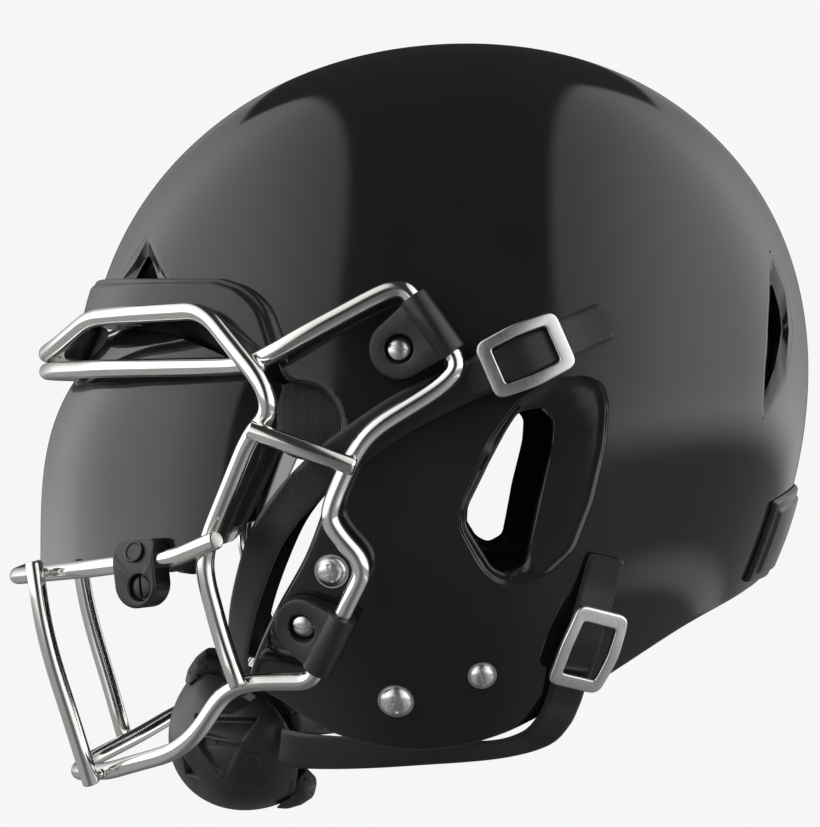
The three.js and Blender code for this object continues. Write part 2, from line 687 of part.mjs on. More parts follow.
// A plate of a local outline, from z = low up.
function slab(shape, low, thickness, curveSegments = 3) {
  const depth = thickness;
  const geometry = new THREE.ExtrudeGeometry(shape, { depth, bevelEnabled: false, curveSegments });
  return geometry.translate(0, 0, low);
}

function buildBuckle(level, { at: place, along }) {
  const frame = domeFrame(place, along);
  const ring = solid(slab(plateOutline(FRAME.length, FRAME.width, 3.5), FRAME.height, FRAME.thickness))
    .subtract(solid(slab(plateOutline(...FRAME.window, 1.5), FRAME.height - 1, FRAME.thickness + 2)));
  const base = slab(plateOutline(BASE.length, BASE.width, 2), BASE.height, BASE.thickness);
  const snap = solid(disc(SNAP.flange, 0.4, 0.4 + SNAP.thickness, 12))
    .add(solid(disc(SNAP.shank, SHANK_END, 0.6, 8)));
  const named = { buckle_frame: ring, buckle_base: solid(base), snap_stud: snap };
  return Object.entries(named).map(([name, made]) => {
    const material = name === "buckle_base" ? SATIN_PLASTIC : NICKEL;
    return piece(`left_${level}_${name}`, moved(geometryOf(made), frame), material);
  });
}

// ---- The helmet ----------------------------------------------------------------------------------------

function buildHelmet() {
  const helmet = new THREE.Group();
  const left = [
    buildClip("left_upper_mask_clip", UPPER_CLIP),
    buildClip("left_lower_mask_clip", LOWER_CLIP),
    buildClipScrew("left_upper_clip_screw", UPPER_CLIP),
    buildClipScrew("left_lower_clip_screw", LOWER_CLIP),
    ...Object.entries(STUDS).map(([name, spec]) => buildStud(`left_${name}`, spec)),
    ...buildVisorClip(),
    ...buildStraps(),
    ...Object.entries(BUCKLES).flatMap(([level, spec]) => buildBuckle(level, spec)),
  ];
  helmet.add(buildShell(), ...buildBumpers(), ...buildPads());
  helmet.add(...buildMask(), buildVisor(), ...buildChinCup());
  helmet.add(...left, ...left.map(rightCopy));
  return helmet;
}

export default buildHelmet();
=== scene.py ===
"""A football helmet, dressed for the studio round its fixed frame. Shapes are in millimetres."""

import math

import bmesh
import bpy
import numpy as np
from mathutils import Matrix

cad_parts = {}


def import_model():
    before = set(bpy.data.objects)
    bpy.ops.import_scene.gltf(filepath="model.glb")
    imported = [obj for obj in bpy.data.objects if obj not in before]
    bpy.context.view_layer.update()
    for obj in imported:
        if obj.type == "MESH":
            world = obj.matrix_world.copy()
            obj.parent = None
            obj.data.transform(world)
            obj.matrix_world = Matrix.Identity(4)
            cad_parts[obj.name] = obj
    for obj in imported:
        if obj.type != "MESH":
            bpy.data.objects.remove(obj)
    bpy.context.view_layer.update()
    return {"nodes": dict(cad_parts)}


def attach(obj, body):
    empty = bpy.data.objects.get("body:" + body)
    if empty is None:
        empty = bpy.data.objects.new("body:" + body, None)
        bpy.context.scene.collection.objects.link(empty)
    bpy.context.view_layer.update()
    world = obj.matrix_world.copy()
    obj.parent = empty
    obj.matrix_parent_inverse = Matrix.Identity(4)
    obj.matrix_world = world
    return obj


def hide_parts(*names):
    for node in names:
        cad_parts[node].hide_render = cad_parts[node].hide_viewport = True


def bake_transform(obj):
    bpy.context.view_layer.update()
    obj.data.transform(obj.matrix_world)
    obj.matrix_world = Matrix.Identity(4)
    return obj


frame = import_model()

MM = 0.001
GAP = 0.35
SIDES = {"left": 1.0, "right": -1.0}

# The dome: half width, radius in the middle plane every 30 degrees from the back over the crown,
# and the exponent that rounds the middle plane over into the sides.
HALF_WIDTH = 116.0
DOME_RADII = np.array([142.5, 151.5, 153.5, 149.5, 150.5, 151.5, 150, 156, 163, 168, 153, 141])
DOME_EXPONENT = 2.4
SHELL_WALL = 4.0
RIM_RADIUS = SHELL_WALL / 2

# Side-view outlines are [y, z] points.
SHELL_EDGE = np.array([
    [-90, 39.5], [-69, 23.5], [-63, 12.5], [-50, 8.5], [-43, -4], [-45.5, -22], [-55, -50], [-67, -72],
    [-76, -92], [-77, -101], [-66, -108.5], [-45, -121], [-14, -126.5], [16, -120.5], [48, -103.5],
    [85, -81.5], [114, -69],
])
BROW_EDGE_HEIGHT = 37.6
NAPE_EDGE_HEIGHT = -65.0

# Clips: screw place and the way the wire runs, as [y, z].
UPPER_CLIP = {"screw": (-21, 22.8), "along": (16.6, -23.6), "reach": 14.4}
LOWER_CLIP = {"screw": (-55.2, -76.4), "along": (-13.1, -25.5), "reach": 11.4}
CLIP_LENGTH = 25.0
CLIP_LIFT = 0.6
CLIP_TOP = 4.6
CLIP_CORNER = 11.0
CLIP_RISE = 6.2
CLIP_WIRE_HEIGHT = 6.3

STUDS = {
    "front_stud": (-45.9, -57.4, 5.6), "lower_stud": (-22.6, -106, 6.0), "rear_stud": (9.1, -96, 4.6),
}
BUCKLES = {"upper": ((23.5, 20.5), (-0.92, -0.4)), "lower": ((45.6, -84), (-0.27, -0.96))}
STRAP_WIDTH = 14.5
STRAP_THICKNESS = 1.6
WIRE_RADIUS = 3.4
WIRE_BEND = 9.0


# ---- The dome surface ------------------------------------------------------

def spline_bends(values):
    """Second differences of the smooth closed curve through evenly spaced values."""
    count = len(values)
    matrix = 4 * np.eye(count) + np.roll(np.eye(count), 1, axis=0) + np.roll(np.eye(count), -1, axis=0)
    return np.linalg.solve(matrix, 6 * (np.roll(values, -1) - 2 * values + np.roll(values, 1)))


DOME_BENDS = spline_bends(DOME_RADII)


def dome_radius(angle):
    """Radius in the middle plane at an angle from the back over the crown, by a closed cubic spline."""
    count = len(DOME_RADII)
    turn = np.mod(np.asarray(angle) / (2 * math.pi), 1.0) * count
    cell = np.floor(turn).astype(int) % count
    after = (cell + 1) % count
    s = turn - np.floor(turn)
    low, high = DOME_RADII[cell], DOME_RADII[after]
    bend = ((1 - s) ** 3 - (1 - s)) * DOME_BENDS[cell] + (s ** 3 - s) * DOME_BENDS[after]
    return low * (1 - s) + high * s + bend / 6


def on_dome(y, z, offset=0.0):
    """Points that lie `offset` outside the dome above side-view points (y, z)."""
    y, z, offset = np.broadcast_arrays(*(np.asarray(value, float) for value in (y, z, offset)))
    share = np.hypot(y, z) / (dome_radius(np.arctan2(z, y)) + offset)
    height = np.clip(1 - share ** DOME_EXPONENT, 0, 1) ** (1 / DOME_EXPONENT)
    return np.stack([(HALF_WIDTH + offset) * height, y, z], axis=-1)


def to_dome(points, offset=0.0):
    """Points moved straight out from the centre on to the surface `offset` outside the dome."""
    x, y, z = np.moveaxis(np.asarray(points, float), -1, 0)
    radius = dome_radius(np.arctan2(z, y)) + offset
    side = (np.abs(x) / (HALF_WIDTH + offset)) ** DOME_EXPONENT
    level = side + (np.hypot(y, z) / radius) ** DOME_EXPONENT
    return points * (level ** (-1 / DOME_EXPONENT))[..., None]


def dome_level(points, offset=0.0):
    """How far points are outside the surface at `offset`, as a share: 0 on it, above 0 outside."""
    x, y, z = np.moveaxis(points, -1, 0)
    radius = dome_radius(np.arctan2(z, y)) + offset
    side = (np.abs(x) / (HALF_WIDTH + offset)) ** DOME_EXPONENT
    return side + (np.hypot(y, z) / radius) ** DOME_EXPONENT - 1


def dome_normals(points, offset=0.0):
    """Outward unit normals: the slope of dome_level, by small steps each way."""
    step = 0.05
    slopes = [
        dome_level(points + step * way, offset) - dome_level(points - step * way, offset)
        for way in np.eye(3)
    ]
    return unit(np.stack(slopes, axis=-1))


def across_front(x, z, offset=0.0, sign=-1.0):
    """Points of the dome at lateral places x and heights z, in front (sign -1) or behind (sign 1)."""
    x, z = np.broadcast_arrays(np.asarray(x, float), np.asarray(z, float))
    y = np.full(x.shape, sign * 150.0)
    for _ in range(12):
        y = to_dome(np.stack([x, y, z], axis=-1), offset)[..., 1]
    return np.stack([x, y, z], axis=-1)


# ---- Arrays and curves -----------------------------------------------------

def unit(vectors):
    return vectors / np.maximum(np.linalg.norm(vectors, axis=-1, keepdims=True), 1e-12)


def smoothstep(value, low, high):
    share = np.clip((value - low) / (high - low), 0, 1)
    return share * share * (3 - 2 * share)


def through(points, samples):
    """A Catmull-Rom curve through points, with `samples` points between neighbours."""
    points = np.asarray(points, float)
    padded = np.vstack([2 * points[0] - points[1], points, 2 * points[-1] - points[-2]])
    t = np.linspace(0, 1, samples, endpoint=False)[None, :, None]
    p, a, b, q = (padded[k:k + len(points) - 1, None, :] for k in range(4))
    square, cube = 2 * p - 5 * a + 4 * b - q, 3 * a - p - 3 * b + q
    curve = 0.5 * (2 * a + (b - p) * t + square * t ** 2 + cube * t ** 3)
    return np.vstack([curve.reshape(-1, points.shape[1]), points[-1]])


def evenly(points, count):
    """The same curve with `count` points at even distances along it."""
    lengths = np.concatenate([[0], np.cumsum(np.linalg.norm(np.diff(points, axis=0), axis=1))])
    places = np.linspace(0, lengths[-1], count)
    return np.stack([np.interp(places, lengths, axis) for axis in points.T], axis=-1)


def tangents(path, closed=False):
    if closed:
        return unit(np.roll(path, -1, axis=0) - np.roll(path, 1, axis=0))
    return unit(np.gradient(path, axis=0))


def rounded(corners, radius, steps=5):
    """A closed outline with a quadratic curve in place of each corner, `radius` long on each side."""
    corners = np.asarray(corners, float)
    enter = corners + radius * unit(np.roll(corners, 1, axis=0) - corners)
    leave = corners + radius * unit(np.roll(corners, -1, axis=0) - corners)
    t = np.linspace(0, 1, steps)[None, :, None]
    curve = (1 - t) ** 2 * enter[:, None] + 2 * t * (1 - t) * corners[:, None] + t ** 2 * leave[:, None]
    return curve.reshape(-1, 2)


def reach_of(outline, centre, angles):
    """Distance from `centre` to a closed outline at each angle. The centre sees all of the outline."""
    start = np.asarray(outline, float) - centre
    edge = np.roll(start, -1, axis=0) - start
    ray = np.stack([np.cos(angles), np.sin(angles)], axis=-1)
    cross = ray[:, None, 0] * edge[None, :, 1] - ray[:, None, 1] * edge[None, :, 0]
    cross = np.where(np.abs(cross) < 1e-12, 1e-12, cross)
    along = (start[None, :, 0] * edge[None, :, 1] - start[None, :, 1] * edge[None, :, 0]) / cross
    share = (start[None, :, 0] * ray[:, None, 1] - start[None, :, 1] * ray[:, None, 0]) / cross
    hit = (share >= -1e-6) & (share <= 1 + 1e-6) & (along > 0)
    return np.where(hit, along, 0).max(axis=1)


# ---- Meshes ----------------------------------------------------------------

class Body:
    """Points, faces and one texture coordinate pair per point, gathered before they become a mesh."""

    def __init__(self):
        self.points = []
        self.faces = []
        self.uvs = []
        self.count = 0

    def add(self, points, faces, uvs=None):
        points = np.asarray(points, float).reshape(-1, 3)
        self.points.append(points)
        self.faces.extend([[corner + self.count for corner in face] for face in faces])
        blank = np.zeros((len(points), 2))
        self.uvs.append(blank if uvs is None else np.asarray(uvs, float).reshape(-1, 2))
        self.count += len(points)
        return self

    def grid(self, points, closed_rows=False, closed_columns=False, uvs=None):
        """A sheet of rows x columns of points, with four-sided faces. Rows or columns may close up."""
        rows, columns = points.shape[:2]
        index = np.arange(rows * columns).reshape(rows, columns)
        if closed_rows:
            index = np.vstack([index, index[:1]])
        if closed_columns:
            index = np.hstack([index, index[:, :1]])
        quads = np.stack([index[:-1, :-1], index[:-1, 1:], index[1:, 1:], index[1:, :-1]], axis=-1)
        return self.add(points, quads.reshape(-1, 4).tolist(), uvs)

    def tube(self, points, uvs=None):
        """A grid whose columns close up, with one face over its first row and one over its last."""
        start, count = self.count, points.shape[1]
        self.grid(points, closed_columns=True, uvs=uvs)
        self.faces.append(list(range(start, start + count))[::-1])
        self.faces.append(list(range(self.count - count, self.count)))
        return self

    def mirrored(self):
        twin = Body()
        for points, uvs in zip(self.points, self.uvs):
            twin.points.append(points * (-1, 1, 1))
            twin.uvs.append(uvs)
        twin.faces = [face[::-1] for face in self.faces]
        twin.count = self.count
        return twin

    def mesh(self, name, closed=True, sharp=38):
        """The gathered shape as a mesh object in metres, smooth up to edges of `sharp` degrees."""
        mesh = bpy.data.meshes.new(name)
        mesh.from_pydata((np.vstack(self.points) * MM).tolist(), [], self.faces)
        layer = mesh.uv_layers.new(name="UVMap")
        corners = np.empty(len(mesh.loops), np.int32)
        mesh.loops.foreach_get("vertex_index", corners)
        layer.data.foreach_set("uv", np.vstack(self.uvs)[corners].astype(np.float32).ravel())
        tidy_mesh(mesh, closed)
        smooth_mesh(mesh, sharp)
        piece = bpy.data.objects.new(name, mesh)
        bpy.context.scene.collection.objects.link(piece)
        return piece


def tidy_mesh(mesh, closed):
    """Merges doubled points, and turns the faces of a closed body outwards."""
    work = bmesh.new()
    work.from_mesh(mesh)
    bmesh.ops.remove_doubles(work, verts=work.verts, dist=2e-6)
    bmesh.ops.dissolve_degenerate(work, edges=work.edges, dist=1e-7)
    if closed:
        bmesh.ops.recalc_face_normals(work, faces=work.faces)
    work.to_mesh(mesh)
    work.free()


def smooth_mesh(mesh, sharp):
    mesh.shade_smooth()
    mesh.set_sharp_from_angle(angle=math.radians(sharp))


def settle(piece, body, slot, finish, *nodes):
    """Gives a piece its finish, its body and the frame nodes that it stands for. The slot is not used."""
    piece.data.materials.clear()
    piece.data.materials.append(finish)
    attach(piece, body)
    if nodes:
        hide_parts(*nodes)
    return piece


def sided(body):
    """Each side's name with the body's shape there: as made on the left, mirrored on the right."""
    return [(side, body if sign > 0 else body.mirrored()) for side, sign in SIDES.items()]


def modifier(piece, kind, **settings):
    added = piece.modifiers.new(kind.title(), kind)
    for name, value in settings.items():
        setattr(added, name, value)
    return added


def baked(piece):
    """Applies the modifiers of a piece to its mesh."""
    shape = piece.evaluated_get(bpy.context.evaluated_depsgraph_get())
    mesh = bpy.data.meshes.new_from_object(shape)
    piece.modifiers.clear()
    piece.data = mesh
    return piece


# ---- Shapes ----------------------------------------------------------------

def frames_along(path, ups=None):
    """Side and up vectors along a path: the given ups, or ones carried along it with no twist."""
    ahead = tangents(path)
    if ups is not None:
        side = unit(np.cross(ahead, ups))
        return side, np.cross(side, ahead)
    first = np.cross(ahead[0], [0, 0, 1.0])
    if np.linalg.norm(first) < 0.2:
        first = np.cross(ahead[0], [0, 1.0, 0])
    carried = [unit(first)]
    for way in ahead[1:]:
        previous = carried[-1]
        carried.append(unit(previous - way * (previous @ way)))
    side = np.array(carried)
    return side, np.cross(ahead, side)


def sweep(path, section, scale):
    """Carries a closed section (side, up) along a path, sized by `scale`, and caps its ends."""
    side, up = frames_along(path)
    local = section[None, :, :] * scale[:, None, None]
    return Body().tube(path[:, None] + local[..., :1] * side[:, None] + local[..., 1:] * up[:, None])


def circle(radius, sides):
    angle = np.linspace(0, 2 * math.pi, sides, endpoint=False)
    return radius * np.stack([np.cos(angle), np.sin(angle)], axis=-1)


def ball(centre, radii, axes, rows, columns):
    """An ellipsoid: latitude rows and longitude columns, stretched along three axes."""
    latitude = np.linspace(-math.pi / 2, math.pi / 2, rows)[:, None]
    longitude = np.linspace(0, 2 * math.pi, columns, endpoint=False)[None, :]
    local = np.stack(np.broadcast_arrays(
        np.cos(latitude) * np.cos(longitude), np.cos(latitude) * np.sin(longitude), np.sin(latitude),
    ), axis=-1)
    return Body().grid(centre + (local * radii) @ axes, closed_columns=True)


class Place:
    """A frame: an origin and three unit axes. Its `points` turns local coordinates into the helmet's."""

    def __init__(self, origin, x, y, z):
        self.origin = np.asarray(origin, float)
        self.axes = np.array([x, y, z], float)

    def points(self, local):
        return self.origin + np.asarray(local, float) @ self.axes


def dome_place(spot, along):
    """A frame on the dome's left side: x runs along a side-view direction, z points straight out."""
    origin = on_dome(*spot)
    out = dome_normals(origin)
    ahead = np.array([0.0, *along])
    ahead = unit(ahead - out * (ahead @ out))
    return Place(origin, ahead, np.cross(out, ahead), out)


def loops(body, place, rings, closed=False):
    """Joins rings of local points, all with the same number of points, into one surface."""
    return body.grid(place.points(np.stack(rings)), closed_rows=closed, closed_columns=True)


def ring_at(outline_reach, angles, centre, inset, height):
    """The ring that lies `inset` inside an outline given by its reach at each angle, at one height."""
    reach = outline_reach - inset
    x = centre[0] + reach * np.cos(angles)
    y = centre[1] + reach * np.sin(angles)
    return np.stack([x, y, np.broadcast_to(height, x.shape)], axis=-1)


def turned(body, place, profile, sides):
    """Spins a profile of (radius, height) pairs about the local z axis."""
    angles = np.linspace(0, 2 * math.pi, sides, endpoint=False)
    rings = [
        ring_at(np.full(sides, radius), angles, (0.0, 0.0), 0.0, height) for radius, height in profile
    ]
    return loops(body, place, rings)


# ---- Finishes --------------------------------------------------------------

class Socket:
    """An output of a node. Sums and products with numbers or other sockets add Math nodes."""

    def __init__(self, finish, output):
        self.finish = finish
        self.output = output

    def _math(self, operation, first, second):
        return self.finish.node("ShaderNodeMath", {"operation": operation}, {0: first, 1: second})

    def __add__(self, other):
        return self._math("ADD", self, other)

    __radd__ = __add__

    def __mul__(self, other):
        return self._math("MULTIPLY", self, other)

    __rmul__ = __mul__

    def __sub__(self, other):
        return self._math("SUBTRACT", self, other)

    def __rsub__(self, other):
        return self._math("SUBTRACT", other, self)

    def __truediv__(self, other):
        return self._math("DIVIDE", self, other)

    def __pow__(self, other):
        return self._math("POWER", self, other)

    def apply(self, operation, other=0.0):
        return self._math(operation, self, other)

    def ramp(self, low, high, to_low=0.0, to_high=1.0):
        """Moves the range low..high smoothly on to to_low..to_high, and holds it outside."""
        settings = {"interpolation_type": "SMOOTHSTEP"}
        values = {0: self, 1: low, 2: high, 3: to_low, 4: to_high}
        return self.finish.node("ShaderNodeMapRange", settings, values)


class NodeTree:
    """A node tree with one method that adds any node."""

    def __init__(self, tree):
        self.tree = tree

    def node(self, kind, settings=None, inputs=None, output=0):
        made = self.tree.nodes.new(kind)
        for name, value in (settings or {}).items():
            setattr(made, name, value)
        self.feed(made, inputs or {})
        return Socket(self, made.outputs[output])

    def feed(self, node, inputs):
        for key, value in inputs.items():
            if isinstance(value, Socket):
                self.tree.links.new(value.output, node.inputs[key])
            else:
                node.inputs[key].default_value = value

    def mix(self, share, first, second):
        """A colour between two colours."""
        inputs = {0: share, 6: first, 7: second}
        return self.node("ShaderNodeMix", {"data_type": "RGBA"}, inputs, output=2)

    def noise(self, vector, scale, detail=2.0, roughness=0.5):
        inputs = {"Vector": vector, "Scale": scale, "Detail": detail, "Roughness": roughness}
        return self.node("ShaderNodeTexNoise", {"noise_dimensions": "3D"}, inputs)

    def axes(self, vector):
        made = self.node("ShaderNodeSeparateXYZ", {}, {0: vector})
        return [Socket(self, output) for output in made.output.node.outputs]


class Finish(NodeTree):
    """A material on the principled shader, whose constants are set on its own sockets."""

    def __init__(self, name, colour, roughness, **constants):
        self.material = bpy.data.materials.new(name)
        self.material.use_nodes = True
        super().__init__(self.material.node_tree)
        self.shader = self.tree.nodes["Principled BSDF"]
        self.colour = (*colour, 1.0)
        self.shader.inputs["Base Color"].default_value = self.colour
        self.shader.inputs["Roughness"].default_value = roughness
        for label, value in constants.items():
            self.shader.inputs[label.replace("_", " ")].default_value = value
        self.material.diffuse_color = self.colour

    def place(self, output="Object"):
        coordinates = self.node("ShaderNodeTexCoord")
        return Socket(self, coordinates.output.node.outputs[output])

    def shade(self, **links):
        self.feed(self.shader, {label.replace("_", " "): value for label, value in links.items()})

    def bump(self, height, distance, strength=1.0):
        inputs = {"Height": height, "Distance": distance, "Strength": strength}
        self.shade(Normal=self.node("ShaderNodeBump", {}, inputs))


def shell_finish():
    """Polished black moulding: faint handling marks in the gloss and a hint of orange peel."""
    made = Finish("gloss_shell", (0.009, 0.009, 0.0095), 0.1, Coat_Roughness=0.03, Coat_IOR=1.45)
    place = made.place()
    smudge = made.noise(place, 14.0, 4.0, 0.6)
    peel = made.noise(place, 420.0, 1.0)
    made.shade(
        Base_Color=made.mix(smudge.ramp(0.35, 0.7), made.colour, (0.0115, 0.0112, 0.011, 1)),
        Roughness=smudge.ramp(0.3, 0.8, 0.07, 0.14),
        Coat_Weight=smudge.ramp(0.2, 0.9, 0.22, 0.1),
    )
    made.bump(peel, 0.00001, 0.35)
    return made.material


def moulded_finish(name, colour, roughness, grain=1400.0, depth=0.00004):
    """Moulded plastic: fine grain, a little uneven gloss and worn lighter patches."""
    made = Finish(name, colour, roughness)
    place = made.place()
    cloud = made.noise(place, 40.0, 3.0)
    fine = made.noise(place, grain, 2.0)
    worn = tuple(1.5 * value + 0.002 for value in colour)
    made.shade(
        Base_Color=made.mix(cloud.ramp(0.4, 0.75), made.colour, (*worn, 1)),
        Roughness=cloud.ramp(0.3, 0.7, roughness - 0.06, roughness + 0.08),
    )
    made.bump(fine, depth, 0.25)
    return made.material


def chrome_finish():
    """Bright plating with faint drawing lines and a warm cast in its shade."""
    made = Finish("chrome_wire", (0.86, 0.85, 0.835), 0.15, Metallic=1.0)
    place = made.place()
    cloud = made.noise(place, 60.0, 3.0)
    pits = made.noise(place, 900.0, 2.0)
    made.shade(
        Base_Color=made.mix(cloud.ramp(0.3, 0.7), made.colour, (0.8, 0.785, 0.765, 1)),
        Roughness=cloud.ramp(0.3, 0.8, 0.13, 0.19) + pits.ramp(0.6, 0.8, 0.0, 0.03),
    )
    made.bump(pits, 0.000002, 0.15)
    return made.material


def nickel_finish():
    """Satin nickel: rolled metal with fine scratches along one way."""
    made = Finish("nickel_hardware", (0.72, 0.715, 0.705), 0.3, Metallic=1.0)
    place = made.place()
    stretch = made.node("ShaderNodeMapping", {}, {"Vector": place, "Scale": (150.0, 900.0, 400.0)})
    lines = made.noise(stretch, 1.0, 3.0, 0.6)
    cloud = made.noise(place, 120.0, 2.0)
    made.shade(
        Base_Color=made.mix(lines.ramp(0.35, 0.7), made.colour, (0.78, 0.775, 0.765, 1)),
        Roughness=lines.ramp(0.3, 0.7, 0.27, 0.31) + cloud.ramp(0.4, 0.8, 0.0, 0.03),
    )
    made.bump(lines, 0.000002, 0.2)
    return made.material


def knit_finish():
    """Knitted cover: small staggered loops, fuzz and a little fading, with painted shade darkening the
    grooves between the loops.
    """
    made = Finish("pad_foam", (0.018, 0.018, 0.02), 0.85, Sheen_Weight=0.25, Sheen_Roughness=0.5)
    place = made.place()
    scaled = made.node("ShaderNodeMapping", {}, {"Vector": place, "Scale": (900.0, 900.0, 900.0)})
    loops_cell = made.node(
        "ShaderNodeTexVoronoi", {"feature": "F1"}, {"Vector": scaled, "Scale": 1.0, "Randomness": 0.35})
    fade = made.noise(place, 25.0, 3.0)
    depth = loops_cell.ramp(0.1, 0.7)
    # Painted shade: the colour darkens where the loops' bump sinks, in the grooves between the loops; the
    # fading noise is real tone.
    made.shade(
        Base_Color=made.mix(
            fade.ramp(0.35, 0.7) * (1 - depth * 0.5), made.colour, (0.034, 0.034, 0.037, 1)),
        Roughness=depth.ramp(0.0, 1.0, 0.78, 0.95),
    )
    made.bump(1 - depth, 0.0003, 0.6)
    return made.material


def dimple_finish():
    """Soft moulded foam whose skin is pricked with rows of small holes, painted near black inside as
    painted shade.
    """
    made = Finish("cup_liner_foam", (0.03, 0.03, 0.031), 0.4)
    place = made.place()
    cell = made.node(
        "ShaderNodeTexVoronoi", {"feature": "F1"}, {"Vector": place, "Scale": 330.0, "Randomness": 0.3})
    skin = made.noise(place, 700.0, 2.0)
    hole = 1 - cell.ramp(0.16, 0.3)
    # Painted shade: the holes, which the bump sinks, are painted near black.
    made.shade(
        Base_Color=made.mix(hole, made.colour, (0.004, 0.004, 0.004, 1)),
        Roughness=skin.ramp(0.3, 0.7, 0.38, 0.6),
    )
    made.bump((1 - hole) + skin * 0.15, 0.0012, 0.9)
    return made.material


def webbing_finish():
    """Woven webbing: rows of yarn across and along the strap, with stitched edges, and a painted
    highlight that lightens the raised crests of the weave.
    """
    made = Finish("webbing", (0.010, 0.010, 0.0105), 0.3)
    across, along, _ = made.axes(made.place("UV"))
    ribs = (along * (2 * math.pi / 1.3)).apply("SINE")
    yarns = (across * (2 * math.pi / 0.9)).apply("SINE")
    weave = (ribs * yarns).ramp(-0.9, 0.9)
    edge = (across.apply("ABSOLUTE")).ramp(6.2, 6.9)
    wear = made.noise(made.place(), 60.0, 3.0)
    # Painted highlight: the colour lightens where the weave's bump is raised; the lighter wear patches
    # are real wear.
    made.shade(
        Base_Color=made.mix(
            weave * 0.4 + wear.ramp(0.45, 0.8) * 0.3, made.colour, (0.02, 0.02, 0.021, 1)),
        Roughness=weave.ramp(0.0, 1.0, 0.24, 0.4),
    )
    made.bump(weave + edge * 0.8, 0.00006, 0.25)
    return made.material


def visor_finish():
    """Dark tinted sheet, a little hazy, whose tint thins out in a margin along each rear edge."""
    made = Finish("tinted_visor", (0.016, 0.016, 0.017), 0.05, Coat_Weight=0.3, Coat_Roughness=0.03)
    place = made.place()
    haze = made.noise(place, 20.0, 3.0)
    _, back, up = made.axes(place)
    margin = (back - up * 0.35).ramp(-0.0695, -0.0675)
    made.shade(
        Roughness=haze.ramp(0.35, 0.8, 0.04, 0.09),
        Alpha=haze.ramp(0.2, 0.9, 0.95, 0.93) - margin * 0.5,
    )
    return made.material


FINISHES = {
    "gloss_shell": shell_finish(),
    "satin_plastic": moulded_finish("satin_plastic", (0.012, 0.012, 0.0125), 0.34),
    "bumper_plastic": moulded_finish("bumper_plastic", (0.012, 0.012, 0.0125), 0.16, 500.0, 0.00001),
    "cup_plastic": moulded_finish("cup_plastic", (0.014, 0.014, 0.0145), 0.33, 900.0, 0.00002),
    "chrome_wire": chrome_finish(),
    "nickel_hardware": nickel_finish(),
    "pad_foam": knit_finish(),
    "cup_liner_foam": dimple_finish(),
    "webbing": webbing_finish(),
    "tinted_visor": visor_finish(),
}


# ---- Shell -----------------------------------------------------------------

# Openings in the shell's left side: the edge of the dished skin, the hole in it, how far the dish
# sinks, and a centre that sees all of both outlines.
OPENINGS = {
    "ear": {
        "centre": (21.0, -30.0),
        "dish": [(35, 13), (46.5, 14), (53, 11), (55, 3.6), (54, -11), (49.5, -32), (42.6, -50),
                 (32.7, -59), (21.5, -62.5), (14.4, -62), (8, -56.5), (0.4, -42.5), (0, -35.4),
                 (9.5, -11), (21.3, 4.9)],
        "hole": [(22, 0.8), (31, 2.4), (34.6, -2.2), (34, -12), (29.3, -31.7), (24.6, -55), (18, -58.6),
                 (12.5, -56), (3, -40.4), (3.3, -34), (11, -18), (17.4, -6.2)],
        "sink": 3.0, "drop": 0.45, "round": 3.0, "throat": 9.0,
    },
    "front_vent": {
        "centre": (-117.5, 54.0),
        "dish": [(-117.8, 69.5), (-106.0, 49.5), (-105, 46), (-132, 46.5), (-131.5, 50)],
        "hole": [(-117.4, 60.5), (-112.2, 49), (-123.6, 49.3)],
        "sink": 2.4, "drop": 0.08, "round": 1.6, "throat": 6.0,
    },
    "rear_vent": {
        "centre": (122.0, 32.0),
        "dish": [(120.6, 63.5), (127.5, 50), (130.4, 32), (126, 12), (115, -3), (115.5, 14),
                 (117.5, 38)],
        "hole": [(121.2, 50), (124.2, 40), (124.8, 32), (121.4, 18), (116.8, 8), (118.4, 22),
                 (119.4, 38)],
        "sink": 2.2, "drop": 0.08, "round": 1.6, "throat": 6.0,
    },
}


def edge_of_shell():
    """The shell's whole lower edge as a closed line on the dome: brow, left side, nape, right side."""
    side = through(SHELL_EDGE, 12)
    left = on_dome(side[:, 0], side[:, 1])
    fore = np.linspace(0, 1, 40, endpoint=False)
    brow_z = BROW_EDGE_HEIGHT + (left[0, 2] - BROW_EDGE_HEIGHT) * fore ** 2
    brow = across_front(left[0, 0] * fore, brow_z)
    back = np.linspace(1, 0, 40)[1:]
    nape_z = NAPE_EDGE_HEIGHT + (left[-1, 2] - NAPE_EDGE_HEIGHT) * back ** 2
    nape = across_front(left[-1, 0] * back, nape_z, sign=1.0)
    half = evenly(np.vstack([brow, left, nape]), 420)
    half = to_dome(half)
    return np.vstack([half, (half * (-1, 1, 1))[-2:0:-1]])


def shell_rim(edge):
    """The rolled rim: a strip flush with both faces of the wall whose outer edge is a half round."""
    ahead = tangents(edge, closed=True)
    out = dome_normals(edge)
    inward = unit(np.cross(out, ahead))
    if inward[0, 2] < 0:
        inward = -inward
    turn = np.linspace(math.pi / 2, 3 * math.pi / 2, 11)
    arc = [(RIM_RADIUS + RIM_RADIUS * math.cos(a), RIM_RADIUS * math.sin(a) - RIM_RADIUS) for a in turn]
    inner = [(4.0, -SHELL_WALL - 0.02), (6.0, -SHELL_WALL - 0.3)]
    section = np.array([(6.0, -0.03), (4.0, -0.015), *arc, *inner])[None]
    points = edge[:, None] + section[..., :1] * inward[:, None] + section[..., 1:] * out[:, None]
    skin = to_dome(points[:, :2], np.array([-0.03, -0.01])[None, :])
    points[:, :2] = skin
    body = Body().grid(points, closed_rows=True, closed_columns=True)
    return settle(body.mesh("shell_rim"), "shell", "gloss_shell", FINISHES["gloss_shell"]), inward


